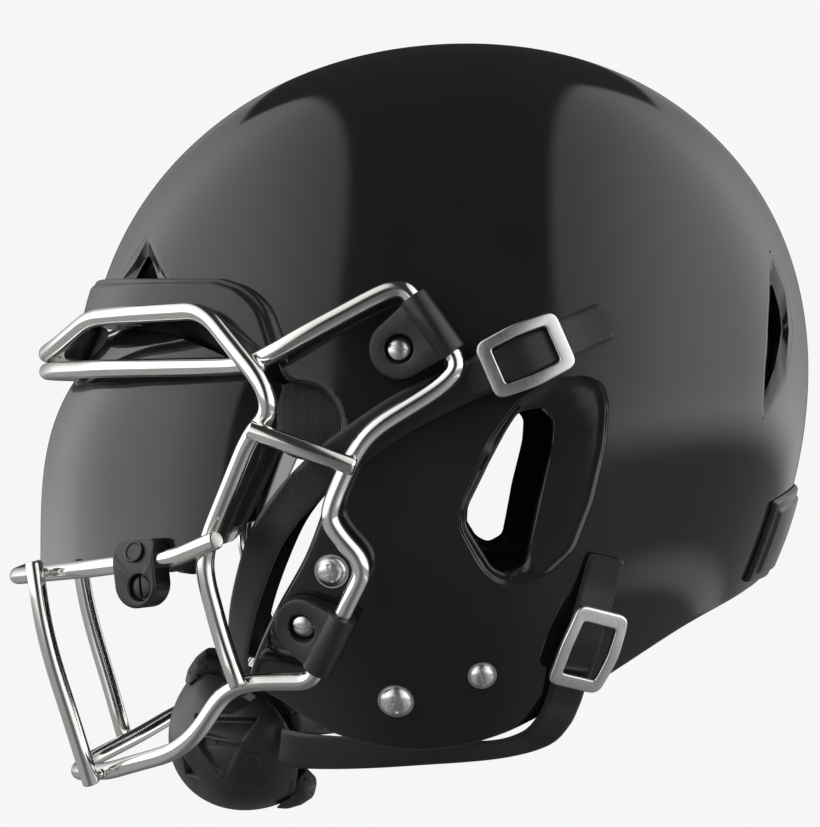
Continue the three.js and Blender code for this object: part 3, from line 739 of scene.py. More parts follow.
def dome_body(offset, across, around):
    """The whole dome at an offset: rings of points from the right pole to the left one."""
    power = 2 / DOME_EXPONENT
    polar = np.linspace(-math.pi / 2, math.pi / 2, across)[:, None]
    angle = np.linspace(0, 2 * math.pi, around, endpoint=False)[None, :]
    x = np.sign(polar) * (HALF_WIDTH + offset) * np.abs(np.sin(polar)) ** power
    radius = (dome_radius(angle) + offset) * np.abs(np.cos(polar)) ** power
    points = np.stack(np.broadcast_arrays(x, radius * np.cos(angle), radius * np.sin(angle)), axis=-1)
    return Body().grid(points, closed_columns=True)


def side_prism(name, outline, low, high):
    """A closed prism with a side-view outline, from x = low to x = high."""
    outline = np.asarray(outline, float)
    count = len(outline)
    ends = [np.column_stack([np.full(count, x), outline]) for x in (low, high)]
    return Body().tube(np.stack(ends)).mesh(name)


def boolean(target, cutter, operation):
    modifier(target, "BOOLEAN", operation=operation, object=cutter, solver="MANIFOLD")
    baked(target)
    bpy.data.objects.remove(cutter)


def dome_shading(mesh):
    """Sets the corner normals of faces on the two dome surfaces from the dome's own formula."""
    count = len(mesh.vertices)
    points = np.empty(count * 3)
    mesh.vertices.foreach_get("co", points)
    points = points.reshape(-1, 3) / MM
    corners = np.empty(len(mesh.loops), np.int32)
    mesh.loops.foreach_get("vertex_index", corners)
    sizes = np.empty(len(mesh.polygons), np.int32)
    mesh.polygons.foreach_get("loop_total", sizes)
    faces = np.empty(len(mesh.polygons) * 3)
    mesh.polygons.foreach_get("normal", faces)
    face_of = np.repeat(np.arange(len(sizes)), sizes)
    normals = faces.reshape(-1, 3)[face_of]
    for offset, sign in ((0.0, 1.0), (-SHELL_WALL, -1.0)):
        smooth = sign * dome_normals(points, offset)
        near = np.abs(dome_level(points, offset)) < 0.0012
        aligned = (smooth[corners] * faces.reshape(-1, 3)[face_of]).sum(axis=1) > 0.9
        on = near[corners] & aligned
        normals[on] = smooth[corners][on]
    mesh.normals_split_custom_set(normals.tolist())


def make_shell():
    edge = edge_of_shell()
    _, inward = shell_rim(edge)
    line = edge + RIM_RADIUS * inward
    left = line[: len(line) // 2 + 1]
    front, back = left[0], left[-1]
    outline = np.vstack([[front[1] - 30, front[2]], left[:, 1:], [back[1] + 30, back[2]],
                         [back[1] + 30, 175], [front[1] - 30, 175]])
    shell = dome_body(0.0, 120, 300).mesh("shell")
    boolean(shell, dome_body(-SHELL_WALL, 60, 140).mesh("shell_inside"), "DIFFERENCE")
    boolean(shell, side_prism("shell_outline", outline, -130, 130), "INTERSECT")
    for name, spec in OPENINGS.items():
        dish = rounded(spec["dish"], spec["round"])
        for x_low, x_high in ((25, 130), (-130, -25)):
            boolean(shell, side_prism(f"{name}_cut", dish, x_low, x_high), "DIFFERENCE")
    shell.data.shade_smooth()
    dome_shading(shell.data)
    settle(shell, "shell", "gloss_shell", FINISHES["gloss_shell"], "outer_shell")
    for name, spec in OPENINGS.items():
        make_dish(name, spec)


def make_dish(name, spec):
    """The dished skin round an opening: rings from the dish's edge to the hole and down its throat."""
    angles = np.linspace(0, 2 * math.pi, 220, endpoint=False)
    centre = np.array(spec["centre"])
    outer = reach_of(rounded(spec["dish"], spec["round"]), centre, angles)
    inner = reach_of(rounded(spec["hole"], min(spec["round"], 2.2)), centre, angles)
    shoulder = np.minimum(2.2, (outer - inner) * 0.4)
    sink = spec["sink"]
    lip = 1.2
    throat = spec["throat"]
    drop = spec["drop"]
    rows = [(outer + 0.5, -1.3), (outer + 0.05, -0.5), (outer, -0.03)]
    for share in np.linspace(0, 1, 7)[1:]:
        rows.append((outer - share * shoulder, -sink * drop * smoothstep(share, 0, 1)))
    for share in np.linspace(0, 1, 9)[1:]:
        start = outer - shoulder
        rows.append((start + (inner + lip - start) * share, -sink * (drop + (1 - drop) * share)))
    for turn in np.linspace(0, math.pi / 2, 6)[1:]:
        rows.append((inner + lip * (1 - math.sin(turn)), -sink - lip * (1 - math.cos(turn))))
    rows += [(inner - 0.15, -sink - lip - 1.5), (inner - 0.4, -throat)]
    rows += [(inner + 1.6, -throat), (outer, -throat + 1)]
    points = [
        on_dome(centre[0] + reach * np.cos(angles), centre[1] + reach * np.sin(angles), depth)
        for reach, depth in rows
    ]
    both = Body().grid(np.stack(points), closed_rows=True, closed_columns=True)
    for side, body in sided(both):
        piece = body.mesh(f"{side}_{name}_dish", sharp=32)
        settle(piece, "shell", "gloss_shell", FINISHES["gloss_shell"])


# ---- Bumpers ---------------------------------------------------------------

BUMPER_STEPS = [(0.0, 0.5), (0.8, 2.4), (1.6, 3.0), (3.2, 3.3), (4.0, 3.9), (5.0, 4.3), (40.0, 4.5)]


def band(name, low_line, high_line, steps, open_low):
    """A moulded band between two lines on the dome, mirrored left to right. Its height over the dome
    grows in steps with the distance from its upper edge and its two ends."""
    columns, rows = 181, 56
    low_half, high_half = evenly(low_line, columns), evenly(high_line, columns)
    low = np.vstack([(low_half * (-1, 1, 1))[:0:-1], low_half])
    high = np.vstack([(high_half * (-1, 1, 1))[:0:-1], high_half])
    share = np.linspace(0, 1, rows)[None, :, None]
    flat = to_dome(low[:, None] * (1 - share) + high[:, None] * share)
    width = np.linalg.norm(high - low, axis=1)[:, None]
    run = np.linspace(-1, 1, len(low))[:, None]
    half_length = np.linalg.norm(np.diff(high_half, axis=0), axis=1).sum()
    to_top = (1 - share[..., 0]) * width
    to_end = (1 - np.abs(run)) * half_length
    to_low = share[..., 0] * width + (3.0 if open_low else 0.0)
    near = np.minimum(np.minimum(to_top, to_end), to_low)
    distances, heights = np.array(steps).T
    height = np.interp(near, distances, heights)
    outer = to_dome(flat, height)
    inner = to_dome(flat, GAP)
    ring = np.concatenate([outer, inner[:, ::-1]], axis=1)
    body = Body().tube(ring)
    return settle(body.mesh(name, sharp=24), "shell", "satin_plastic", FINISHES["bumper_plastic"], name)


def make_bumpers():
    fore = np.linspace(0, 1, 60)
    top = through([(-84, 49.3), (-75, 45.6), (-68, 39), (-64.2, 30), (-62.2, 23), (-61.4, 18.6)], 10)
    low = through([(-90, 36.6), (-80, 29.6), (-72, 23.2), (-66.5, 18)], 10)
    top_side = on_dome(top[:, 0], top[:, 1])
    low_side = on_dome(low[:, 0], low[:, 1])
    brow = fore[:-1]
    top_brow = across_front(top_side[0, 0] * brow, 53.2 - 3.9 * brow ** 2)
    low_brow = across_front(low_side[0, 0] * brow, 35.2 + 1.4 * brow ** 2)
    top_line, low_line = np.vstack([top_brow, top_side]), np.vstack([low_brow, low_side])
    band("front_bumper", low_line, top_line, BUMPER_STEPS, open_low=True)
    nape_top = across_front(62 * fore, -28 - 5.5 * fore ** 3, sign=1.0)
    nape_low = across_front(60 * fore, -63.8 - 0.8 * fore, sign=1.0)
    steps = [(0.0, 0.5), (0.9, 2.0), (4.0, 2.2), (5.0, 3.2), (30.0, 3.5)]
    band("rear_bumper", nape_low, nape_top, steps, open_low=False)


# ---- Face mask -------------------------------------------------------------

def wire_path(corners, steps=7):
    """Straight runs joined by quadratic curves. Each corner is (x, y, z) or (x, y, z, bend)."""
    points = np.array([corner[:3] for corner in corners], float)
    bends = [corner[3] if len(corner) > 3 else WIRE_BEND for corner in corners]
    t = np.linspace(0, 1, steps)[:, None]
    path = [points[:1]]
    for i in range(1, len(points) - 1):
        before, after = points[i - 1] - points[i], points[i + 1] - points[i]
        enter = points[i] + unit(before) * min(bends[i], 0.45 * np.linalg.norm(before))
        leave = points[i] + unit(after) * min(bends[i], 0.45 * np.linalg.norm(after))
        path.append((1 - t) ** 2 * enter + 2 * t * (1 - t) * points[i] + t ** 2 * leave)
    path.append(points[-1:])
    return np.vstack(path)


def wire_body(corners):
    """A round wire along its path. Its ends are cut square with a small chamfer."""
    path = wire_path(corners)
    ahead = tangents(path)
    tips = [path[0] + ahead[0] * d for d in (0.0, 0.4, 0.9)]
    tails = [path[-1] - ahead[-1] * d for d in (0.9, 0.4, 0.0)]
    path = np.vstack([tips, path[1:-1], tails])
    scale = np.ones(len(path))
    scale[[0, -1]] = 0.8
    scale[[1, -2]] = 0.94
    return sweep(path, circle(WIRE_RADIUS, 24), scale)


def clip_place(clip):
    return dome_place(clip["screw"], clip["along"])


def clip_side(clip):
    """1 or -1: the local side of the screw that the wire runs on, which is its back."""
    return math.copysign(1.0, clip_place(clip).axes[1][1])


def clip_run(clip):
    place = clip_place(clip)
    across = clip_side(clip) * clip["reach"]
    return [place.points((end * CLIP_LENGTH / 2, across, CLIP_WIRE_HEIGHT)) for end in (-1, 1)]


def past(start, end, bend):
    return (*(end + unit(end - start) * bend), bend)


def lifted(y, z, offset):
    return tuple(on_dome(y, z, offset))


def both_sides(half):
    twins = [(-corner[0], *corner[1:]) for corner in half]
    return [*half, *twins[::-1]]


VISOR_BAR_RUN = [(99.0, -104.0, -53.0), (78.0, -138.0, -58.5)]


def mask_wires():
    """Corner points of every wire, by name. Wires named here without a side cross the middle plane."""
    upper_top, upper_end = clip_run(UPPER_CLIP)
    lower_top, lower_end = clip_run(LOWER_CLIP)
    upper_middle = (upper_top + upper_end) / 2
    lower_middle = (lower_top + lower_end) / 2

    def before(middle, end):
        return tuple(middle + unit(end - middle) * 0.3)

    middle_wires = {
        "mask_upper_wire": both_sides([
            before(upper_middle, upper_top), past(upper_end, upper_top, 4), lifted(-26, 44, 6.6),
            lifted(-56, 28, 8.2), lifted(-69, 20.5, 8.4), (109.5, -77.5, 17.3), (92, -111, 17),
            (70, -137, 17), (34, -158, 17), (12, -165, 17),
        ]),
        "mask_lower_wire": both_sides([
            before(lower_middle, lower_end), past(lower_top, lower_end, 5), (97, -78, -99),
            (94, -87, -104), (90, -96.5, -119), (84, -106, -127), (72, -121, -132.5),
            (50.5, -134.5, -139), (14, -152, -145),
        ]),
        "mask_brow_wire": both_sides([
            (104, -80, -100), (101.5, -86, -84), (102, -93, -58), (102.5, -91.5, -46.5), (117, -75, -8),
            (123, -67.5, 0), (123.5, -69.5, 10), lifted(-92.5, 37.6, 10), lifted(-107, 37.2, 9.8),
            lifted(-123, 36.9, 9.6), lifted(-139.5, 36.6, 9), (36, -157, 26.5), (14, -165, 24),
        ]),
        "mask_visor_bar": both_sides([
            (116, -87, -45.5), (*VISOR_BAR_RUN[0], 6), (*VISOR_BAR_RUN[1], 6), (53, -155.5, -61.5, 6),
            (18, -176, -65.5, 6),
        ]),
    }
    side_wires = {
        "side_wire": [
            before(upper_middle, upper_end), past(upper_top, upper_end, 5), lifted(-7, 9, 6.6),
            lifted(-31.5, -6, 7.6), lifted(-39, -17, 8), lifted(-47, -36, 8), lifted(-44, -43, 8),
            lifted(-33, -55, 8), past(lower_end, lower_top, 6), before(lower_middle, lower_top),
        ],
        "front_post": [
            (58, -162.5, -57), (58.5, -159, -80), (58.5, -155, -96), (57, -147.5, -120),
            (55, -140.5, -143.5),
        ],
        "side_strut": [(126, -75, -5.5), lifted(-37, -19, 15)],
    }
    return middle_wires, side_wires


# Weld beads: middle of the bead, the way it runs, and its half sizes.
WELDS = {
    "brow_weld": ((116.2, -72.0, 17.8), (0.2, -0.6, 0.77), (3.6, 2.0, 2.0)),
    "bar_weld": ((105.0, -93.0, -49.5), (0.1, -0.4, 0.9), (3.2, 1.8, 1.9)),
    "post_top_weld": ((56.5, -158.6, -61.5), (1, 0.4, 0), (3.0, 1.8, 2.0)),
    "post_foot_weld": ((53.5, -136.8, -139.5), (1, 0.5, 0), (3.2, 1.8, 1.8)),
    "jaw_weld": ((99.6, -80.5, -98.6), (0.2, 0.9, -0.2), (3.2, 1.8, 1.8)),
    "strut_front_weld": ((120.4, -70.4, -4.4), (0.1, 0.2, 1), (3.2, 1.8, 1.8)),
    "strut_back_weld": ((124.0, -38.2, -17.0), (0, 0.3, 1), (3.0, 1.7, 1.7)),
}


def weld_bead(centre, way, radii):
    """A short bead: an ellipsoid whose skin ripples along its length, as weld metal freezes."""
    ahead = unit(np.array(way, float))
    side = unit(np.cross(ahead, (0.3, 1.0, 0.1)))
    axes = np.array([ahead, side, np.cross(ahead, side)])
    body = ball(np.array(centre), np.array(radii), axes, 14, 24)
    points = body.points[0]
    along = (points - centre) @ ahead
    ripple = 1 + 0.05 * np.cos(along * 5.5)
    core = centre + np.outer(along, ahead)
    body.points[0] = core + (points - core) * ripple[:, None]
    return body


def make_mask():
    middle_wires, side_wires = mask_wires()
    chrome = FINISHES["chrome_wire"]
    for name, corners in middle_wires.items():
        settle(wire_body(corners).mesh(name + "_tube"), "shell", "chrome_wire", chrome, name)
    wires = {name: dict(sided(wire_body(corners))) for name, corners in side_wires.items()}
    welds = {name: dict(sided(weld_bead(*spec))) for name, spec in WELDS.items()}
    for side in SIDES:
        for name, shapes in wires.items():
            piece = shapes[side].mesh(f"{side}_{name}_tube")
            settle(piece, "shell", "chrome_wire", chrome, f"{side}_{name}")
        for name, shapes in welds.items():
            settle(shapes[side].mesh(f"{side}_{name}"), "shell", "chrome_wire", chrome)


# ---- Clips, screws and studs -----------------------------------------------

def plate_rings(reach, angles, centre, low, top, bevel, well, well_depth, bore):
    """Rings of a plate with a bevelled top edge and a stepped round well for a screw head."""
    turns = np.linspace(0, math.pi / 2, 5)
    rings = [ring_at(reach, angles, centre, bevel * 0.4, low)]
    rings += [ring_at(reach, angles, centre, 0, low + bevel * 0.4)]
    rings += [
        ring_at(reach, angles, centre, bevel * (1 - math.cos(t)), top - bevel * (1 - math.sin(t)))
        for t in turns
    ]
    around = np.full(len(angles), well)
    rings += [ring_at(around, angles, centre, -0.7 * (1 - math.sin(t)), top - 0.7 * (1 - math.cos(t)))
              for t in turns]
    rings += [
        ring_at(around, angles, centre, 0.0, top - well_depth + 0.3),
        ring_at(around, angles, centre, 0.3, top - well_depth),
        ring_at(np.full(len(angles), bore), angles, centre, 0.0, top - well_depth),
        ring_at(np.full(len(angles), bore), angles, centre, 0.0, low),
    ]
    return rings


def clip_outline(clip):
    """A half round about the screw that widens to the full length of the wire's wrap."""
    side = clip_side(clip)
    half = CLIP_LENGTH / 2
    back = side * clip["reach"]
    turn = np.linspace(0, math.pi, 24)
    arc = np.column_stack([CLIP_CORNER * np.cos(turn), -side * CLIP_CORNER * np.sin(turn)])
    return np.vstack([arc, [(-half, back), (half, back)]])


def clip_body(clip):
    """The plate, whose top rises to the roll of the sleeve, and the sleeve that wraps the wire."""
    place = clip_place(clip)
    side = clip_side(clip)
    angles = np.linspace(0, 2 * math.pi, 120, endpoint=False)
    centre = (0.0, 0.0)
    reach = reach_of(clip_outline(clip), np.array(centre), angles)
    rings = np.array(plate_rings(reach, angles, centre, CLIP_LIFT, CLIP_TOP, 0.9, 5.3, 2.6, 2.7))
    share = (side * rings[..., 1] + CLIP_CORNER) / (CLIP_CORNER + clip["reach"])
    rings[..., 2] += CLIP_RISE * np.clip(share, 0, 1) ** 1.2 * smoothstep(rings[..., 2], 2.4, 3.4)
    body = loops(Body(), place, list(rings), True)
    half = CLIP_LENGTH / 2
    across = side * clip["reach"]
    outer, bore, soft = 5.7, 3.55, 0.8
    end = [
        (half, bore + 0.2, outer - soft), (half - 0.25, bore, outer - 0.2), (half - soft, bore, outer),
    ]
    stations = [(-x, small, big) for x, small, big in end] + end[::-1]
    spin = np.linspace(0, 2 * math.pi, 40, endpoint=False)

    def ring(x, radius):
        over, up = across + radius * np.cos(spin), CLIP_WIRE_HEIGHT + radius * np.sin(spin)
        return np.column_stack([np.full(len(spin), x), over, up])

    rings = [ring(x, big) for x, _, big in stations]
    rings += [ring(x, small) for x, small, _ in stations[::-1]]
    loops(body, place, rings, True)
    return body


def slotted_head(place, centre, radius, low, crown, slot):
    """A screw head: a low dome with a straight slot across it."""
    rows, columns = 26, 96
    share = np.linspace(1, 0, rows)[:, None]
    angle = np.linspace(0, 2 * math.pi, columns, endpoint=False)[None, :]
    x = radius * share * np.cos(angle)
    y = radius * share * np.sin(angle)
    top = low + 1.0 + crown * (1 - share ** 2.4)
    height = top - 1.1 * (1 - smoothstep(np.abs(x), slot * 0.36, slot * 0.52))
    cap = np.stack(np.broadcast_arrays(x + centre[0], y + centre[1], height), axis=-1)
    skirt = ring_at(np.full(columns, radius), angle[0], centre, 0.0, low)
    under = ring_at(np.full(columns, 0.01), angle[0], centre, 0.0, low)
    body = Body()
    loops(body, place, [under, skirt, *cap])
    return body


def stud_body(place, radius, cross):
    """A round stud: a domed head over a short collar, with a cross recess or one slot."""
    rows, columns = 40, 112
    share = np.linspace(1, 0, rows)[:, None]
    angle = np.linspace(0, 2 * math.pi, columns, endpoint=False)[None, :]
    x = radius * share * np.cos(angle)
    y = radius * share * np.sin(angle)
    rise = radius * 0.46
    dome = GAP + 0.5 + rise * (1 - share ** 2.6) ** 0.8
    reach = radius * 0.62

    def groove(a, b):
        return (1 - smoothstep(np.abs(a), 0.34, 0.62)) * (1 - smoothstep(np.abs(b), reach * 0.8, reach))

    cut = np.maximum(groove(x, y), groove(y, x)) if cross else groove(x, y * 0.7)
    cap = np.stack(np.broadcast_arrays(x, y, dome - 0.75 * cut), axis=-1)
    rim = [ring_at(np.full(columns, r), angle[0], (0, 0), 0.0, h)
           for r, h in ((0.01, GAP), (radius - 0.25, GAP), (radius, GAP + 0.2))]
    body = loops(Body(), place, [*rim, *cap])
    turned(body, place, [(0, 0.05), (radius + 0.7, 0.05), (radius + 0.75, 0.25), (0, 0.3)], 48)
    return body


def make_hardware():
    plastic, nickel = FINISHES["satin_plastic"], FINISHES["nickel_hardware"]
    pieces = []
    for name, clip in (("upper", UPPER_CLIP), ("lower", LOWER_CLIP)):
        seat = CLIP_TOP - 2.2
        tilt = (0.35, 1.0) if name == "upper" else (0.05, 1.0)
        screw = slotted_head(dome_place(clip["screw"], tilt), (0, 0), 3.9, seat + 1.6, 1.1, 1.1)
        pieces.append((f"{name}_mask_clip", clip_body(clip), plastic, "satin_plastic"))
        pieces.append((f"{name}_clip_screw", screw, nickel, "nickel_hardware"))
    for name, (y, z, radius) in STUDS.items():
        body = stud_body(dome_place((y, z), (1.0, 0.25)), radius, cross=name != "rear_stud")
        pieces.append((name, body, nickel, "nickel_hardware"))
    for name, body, finish, slot in pieces:
        for side, shape in sided(body):
            piece = shape.mesh(f"{side}_{name}_fine", sharp=30)
            settle(piece, "shell", slot, finish, f"{side}_{name}")


# ---- Visor -----------------------------------------------------------------

VISOR = {
    "half_width": 94.0, "depth": 97.0, "back": -71.0, "bottom": -63.0, "height": 96.0,
    "roll": 32.0, "roll_power": 3.6, "wall": 2.2, "tail": 12.0,
}


def visor_sheet(turn, rise, inset):
    """The visor's surface: `turn` from -1 right to 1 left, `rise` from 0 at the bottom to 1 at the top.
    It is half an ellipse in plan, rolled back at the top, with its sides swept back, raised below and
    cut down above."""
    angle = turn * math.pi / 2
    back = VISOR["roll"] * rise ** VISOR["roll_power"]
    side = np.abs(turn)
    low = VISOR["bottom"] + 16 * side ** 2.2 * (1 - rise)
    top = VISOR["bottom"] + VISOR["height"] - 26 * side ** 4
    x = (VISOR["half_width"] - inset) * np.sin(angle)
    forward = (VISOR["depth"] - inset - back) * np.cos(angle)
    tail = VISOR["tail"] * rise ** 0.6 * side ** 10
    y = VISOR["back"] - forward - 12 * side ** 3 + 14 * rise * side ** 3 + tail
    return np.stack(np.broadcast_arrays(x, y, low + (top - VISOR["bottom"]) * rise), axis=-1)


def make_visor():
    turn = np.linspace(-1, 1, 141)[:, None]
    rise = np.linspace(0, 1, 49)[None, :]
    wall = VISOR["wall"]
    soft = [(0.35 * wall, -0.003), (0.65 * wall, -0.003)]
    outer, inner = visor_sheet(turn, rise, 0.0), visor_sheet(turn, rise, wall)
    low = [visor_sheet(turn, np.zeros((1, 1)), inset) + (0, 0, -0.3) for inset, _ in soft[::-1]]
    high = [visor_sheet(turn, np.ones((1, 1)), inset) + (0, 0, 0.3) for inset, _ in soft]
    ring = np.concatenate([outer, *high, inner[:, ::-1], *low], axis=1)
    body = Body().tube(ring)
    piece = body.mesh("visor_sheet", sharp=40)
    settle(piece, "shell", "tinted_visor", FINISHES["tinted_visor"], "visor")
    make_brow_skirt()
    make_brow_bracket()
    make_visor_clips()


def make_brow_skirt():
    """A dark moulded lip inside the brow: a curtain from the shell's edge, behind the visor's top."""
    x = np.linspace(-84, 84, 121)[:, None]
    z = np.linspace(52, 15, 30)[None, :]
    z = z + 9 * (1 - (x / 84) ** 2) * (z - 52) / -37
    outer = across_front(x, z, -19.0)
    inner = across_front(x, z, -21.5)
    ring = np.concatenate([outer, inner[:, ::-1]], axis=1)
    body = Body().tube(ring)
    settle(body.mesh("brow_skirt"), "shell", "satin_plastic", FINISHES["satin_plastic"])


def make_brow_bracket():
    """A small block under the brow's middle: a rounded outline carried across x, narrower at its ends."""
    corners = [(-158.5, 22.0), (-150, 20.5), (-142.5, 34.0), (-150, 38.5), (-156.5, 34.5)]
    outline = np.array(rounded(corners, 2.0))
    middle = outline.mean(axis=0)
    across = np.array([-16.0, -15.6, -14.4, -12.0, 0.0, 12.0, 14.4, 15.6, 16.0])
    draw = np.array([0.35, 0.72, 0.93, 1.0, 1.0, 1.0, 0.93, 0.72, 0.35])
    rings = middle + (outline[None] - middle) * draw[:, None, None]
    x = np.broadcast_to(across[:, None, None], rings.shape[:2] + (1,))
    back = 0.004 * (across ** 2)[:, None, None]
    body = Body().tube(np.concatenate([x, rings + [1.0, 0.0] * back], axis=-1))
    settle(body.mesh("brow_bracket"), "shell", "satin_plastic", FINISHES["satin_plastic"])


def visor_clip_place():
    """x runs along the bar, y up it and z outward, from two fifths along the bar's straight run."""
    back, front = (np.array(point) for point in VISOR_BAR_RUN)
    along = unit(front - back)
    out = unit(np.cross((0, 0, 1.0), along))
    out = out if out[0] > 0 else -out
    up = np.cross(out, along)
    place = Place(back + (front - back) * 0.4, along, up, out)
    return place, math.copysign(1.0, up[2])


def visor_clip_body():
    """A block, round below and sloped above, with a screw well, an oval dimple and a backing tongue."""
    place, up = visor_clip_place()
    angles = np.linspace(0, 2 * math.pi, 120, endpoint=False)
    centre = (-2.0, -9.5 * up)
    round_end = [(9.5 * math.cos(t), up * (-8 - 9 * math.sin(t))) for t in np.linspace(0.1, 3.04, 20)]
    square_end = [(-9.5, 7 * up), (-8.5, 8 * up), (8.5, 8 * up), (9.5, 7 * up), (9.5, -8 * up)]
    outline = np.vstack([*square_end, *round_end, (-9.5, -8 * up)])
    reach = reach_of(outline, np.array(centre), angles)
    rings = plate_rings(reach, angles, centre, -5.0, 5.0, 1.0, 5.0, 3.0, 2.2)
    body = loops(Body(), place, rings, True)
    local = (body.points[0] - place.origin) @ place.axes.T
    slope = smoothstep(local[:, 1] * up, 0.5, 8.0) * np.where(local[:, 2] > 0, 1, 0)
    local[:, 2] -= 2.6 * slope
    body.points[0] = place.points(local)
    dimple = Place(
        place.points((-0.5, 4.2 * up, 4.15)), place.axes[0],
        unit(place.axes[1] * up - 0.35 * place.axes[2]),
        unit(place.axes[2] + 0.35 * up * place.axes[1]),
    )
    hollow = [(4.2, -0.4), (4.2, 0.15), (3.8, 0.35), (3.3, 0.3), (2.8, -0.1), (0, -0.35)]
    turned(body, dimple, hollow, 40)
    tongue = rounded([(8.5, 5 * up), (14, 3 * up), (14, -14 * up), (6, -14 * up)], 2)
    ends = [np.column_stack([tongue, np.full(len(tongue), z)]) for z in (-5.6, -3.6)]
    body.tube(place.points(np.stack(ends)))
    return body, place, centre


def make_visor_clips():
    body, place, centre = visor_clip_body()
    screw = slotted_head(place, centre, 4.0, 2.6, 0.5, 1.0)
    plastic = FINISHES["satin_plastic"]
    shapes = {"visor_clip": dict(sided(body)), "visor_clip_screw": dict(sided(screw))}
    for side in SIDES:
        for name, shape in shapes.items():
            piece = shape[side].mesh(f"{side}_{name}_fine", sharp=30)
            settle(piece, "shell", "satin_plastic", plastic, f"{side}_{name}")


# ---- Chin cup --------------------------------------------------------------

CUP = {
    "lateral": 41.0, "rim": 33.0, "depth": 38.0, "wall": 3.0,
    "centre": (0.0, -80.0, -127.5), "tilt": 36.0, "level": 6.0, "wing": 22.0,
}


def cup_place():
    tilt = math.radians(CUP["tilt"])
    rim = np.array([0, math.sin(tilt), -math.cos(tilt)])
    forward = np.array([0, -math.cos(tilt), -math.sin(tilt)])
    return Place(CUP["centre"], np.cross(rim, forward), rim, forward)


def polygon_depth(y, z, corners):
    """Distance inside a polygon, and below 0 outside it, for whole arrays of points."""
    corners = np.asarray(corners, float)
    nearest = np.full(y.shape, np.inf)
    inside = np.zeros(y.shape, bool)
    for (ay, az), (by, bz) in zip(corners, np.roll(corners, -1, axis=0)):
        ey, ez = by - ay, bz - az
        share = np.clip(((y - ay) * ey + (z - az) * ez) / (ey * ey + ez * ez), 0, 1)
        nearest = np.minimum(nearest, np.hypot(y - ay - share * ey, z - az - share * ez))
        crosses = (az > z) != (bz > z)
        inside ^= crosses & (y < ay + (z - az) * ey / np.where(ez == 0, 1e-9, ez))
    return np.where(inside, nearest, -nearest)


# Relief on the cup's sides as [y, z] outlines. A facet sinks by `deep` at height `upper` and by
# `shallow` at height `lower`, and its wall is `wall` wide.
CUP_FACETS = [
    {"outline": [(-103, -119.2), (-95, -119.9), (-76.8, -119.4), (-83.4, -129.6), (-103, -126.6)],
     "upper": -119.5, "lower": -128.5, "deep": 4.2, "shallow": 0.2, "wall": 0.9},
    {"outline": [(-103, -127.4), (-83.9, -130.6), (-90.7, -144.9), (-101.2, -133.0)],
     "upper": -128.5, "lower": -145.0, "deep": 4.0, "shallow": 0.9, "wall": 0.9},
    {"outline": [(-90.9, -112.4), (-76.4, -107.6), (-73.9, -110.2), (-87.4, -118.4), (-95.5, -118.4)],
     "upper": -108.0, "lower": -119.0, "deep": 2.6, "shallow": 0.3, "wall": 1.0},
    {"outline": [(-108.6, -136.4), (-101.0, -147.0), (-107.6, -145.2)],
     "upper": -136.0, "lower": -147.0, "deep": 3.0, "shallow": 3.0, "wall": 1.0},
]
CUP_SKIRT = [
    (-106.5, -122), (-102.8, -130.1), (-100, -137), (-95, -142.6), (-88.6, -147), (-81.4, -149.6),
    (-73, -149.6), (-64, -146), (-64, -180), (-125, -180), (-125, -122),
]
CUP_BUTTON = (-79.4, -137.2, 3.3)


def cup_surface(points):
    """How far each point of the cup's skin sinks: faceted recesses, the groove round a button, and a
    skirt that steps in below a curved line."""
    y, z = points[..., 1], points[..., 2]
    sink = np.zeros(y.shape)
    for facet in CUP_FACETS:
        share = np.clip((facet["upper"] - z) / (facet["upper"] - facet["lower"]), 0, 1)
        floor = facet["deep"] + (facet["shallow"] - facet["deep"]) * share
        inside = smoothstep(polygon_depth(y, z, facet["outline"]), 0.0, facet["wall"])
        sink = np.maximum(sink, floor * inside)
    ring = np.hypot(y - CUP_BUTTON[0], z - CUP_BUTTON[1]) - CUP_BUTTON[2]
    sink = sink + 0.35 * np.exp(-(ring / 0.3) ** 2)
    fade = smoothstep(np.abs(points[..., 0]), 6, 14) * smoothstep(y, -107.5, -102)
    return sink + 0.5 * smoothstep(polygon_depth(y, z, CUP_SKIRT), 0.0, 0.5) * fade


def cup_grid(inset, level, rows, columns):
    """Half an ellipsoid in rings round the cup's nose, up to a rim that sweeps back at the sides."""
    share = np.linspace(0, 1, rows)[:, None]
    angle = np.linspace(0, 2 * math.pi, columns, endpoint=False)[None, :]
    lateral, rim, depth = (CUP[key] - inset for key in ("lateral", "rim", "depth"))
    low = np.zeros_like(angle) + 0.1
    high = np.zeros_like(angle) + 2.6
    for _ in range(30):
        middle = (low + high) / 2
        x = lateral * np.sin(middle) * np.cos(angle)
        edge = level - CUP["wing"] * np.minimum(np.abs(x) / CUP["lateral"], 1) ** 2
        above = depth * np.cos(middle) > edge
        low, high = np.where(above, middle, low), np.where(above, high, middle)
    polar = share * low
    return np.stack([lateral * np.sin(polar) * np.cos(angle), rim * np.sin(polar) * np.sin(angle),
                     depth * np.cos(polar) + 0 * angle], axis=-1)


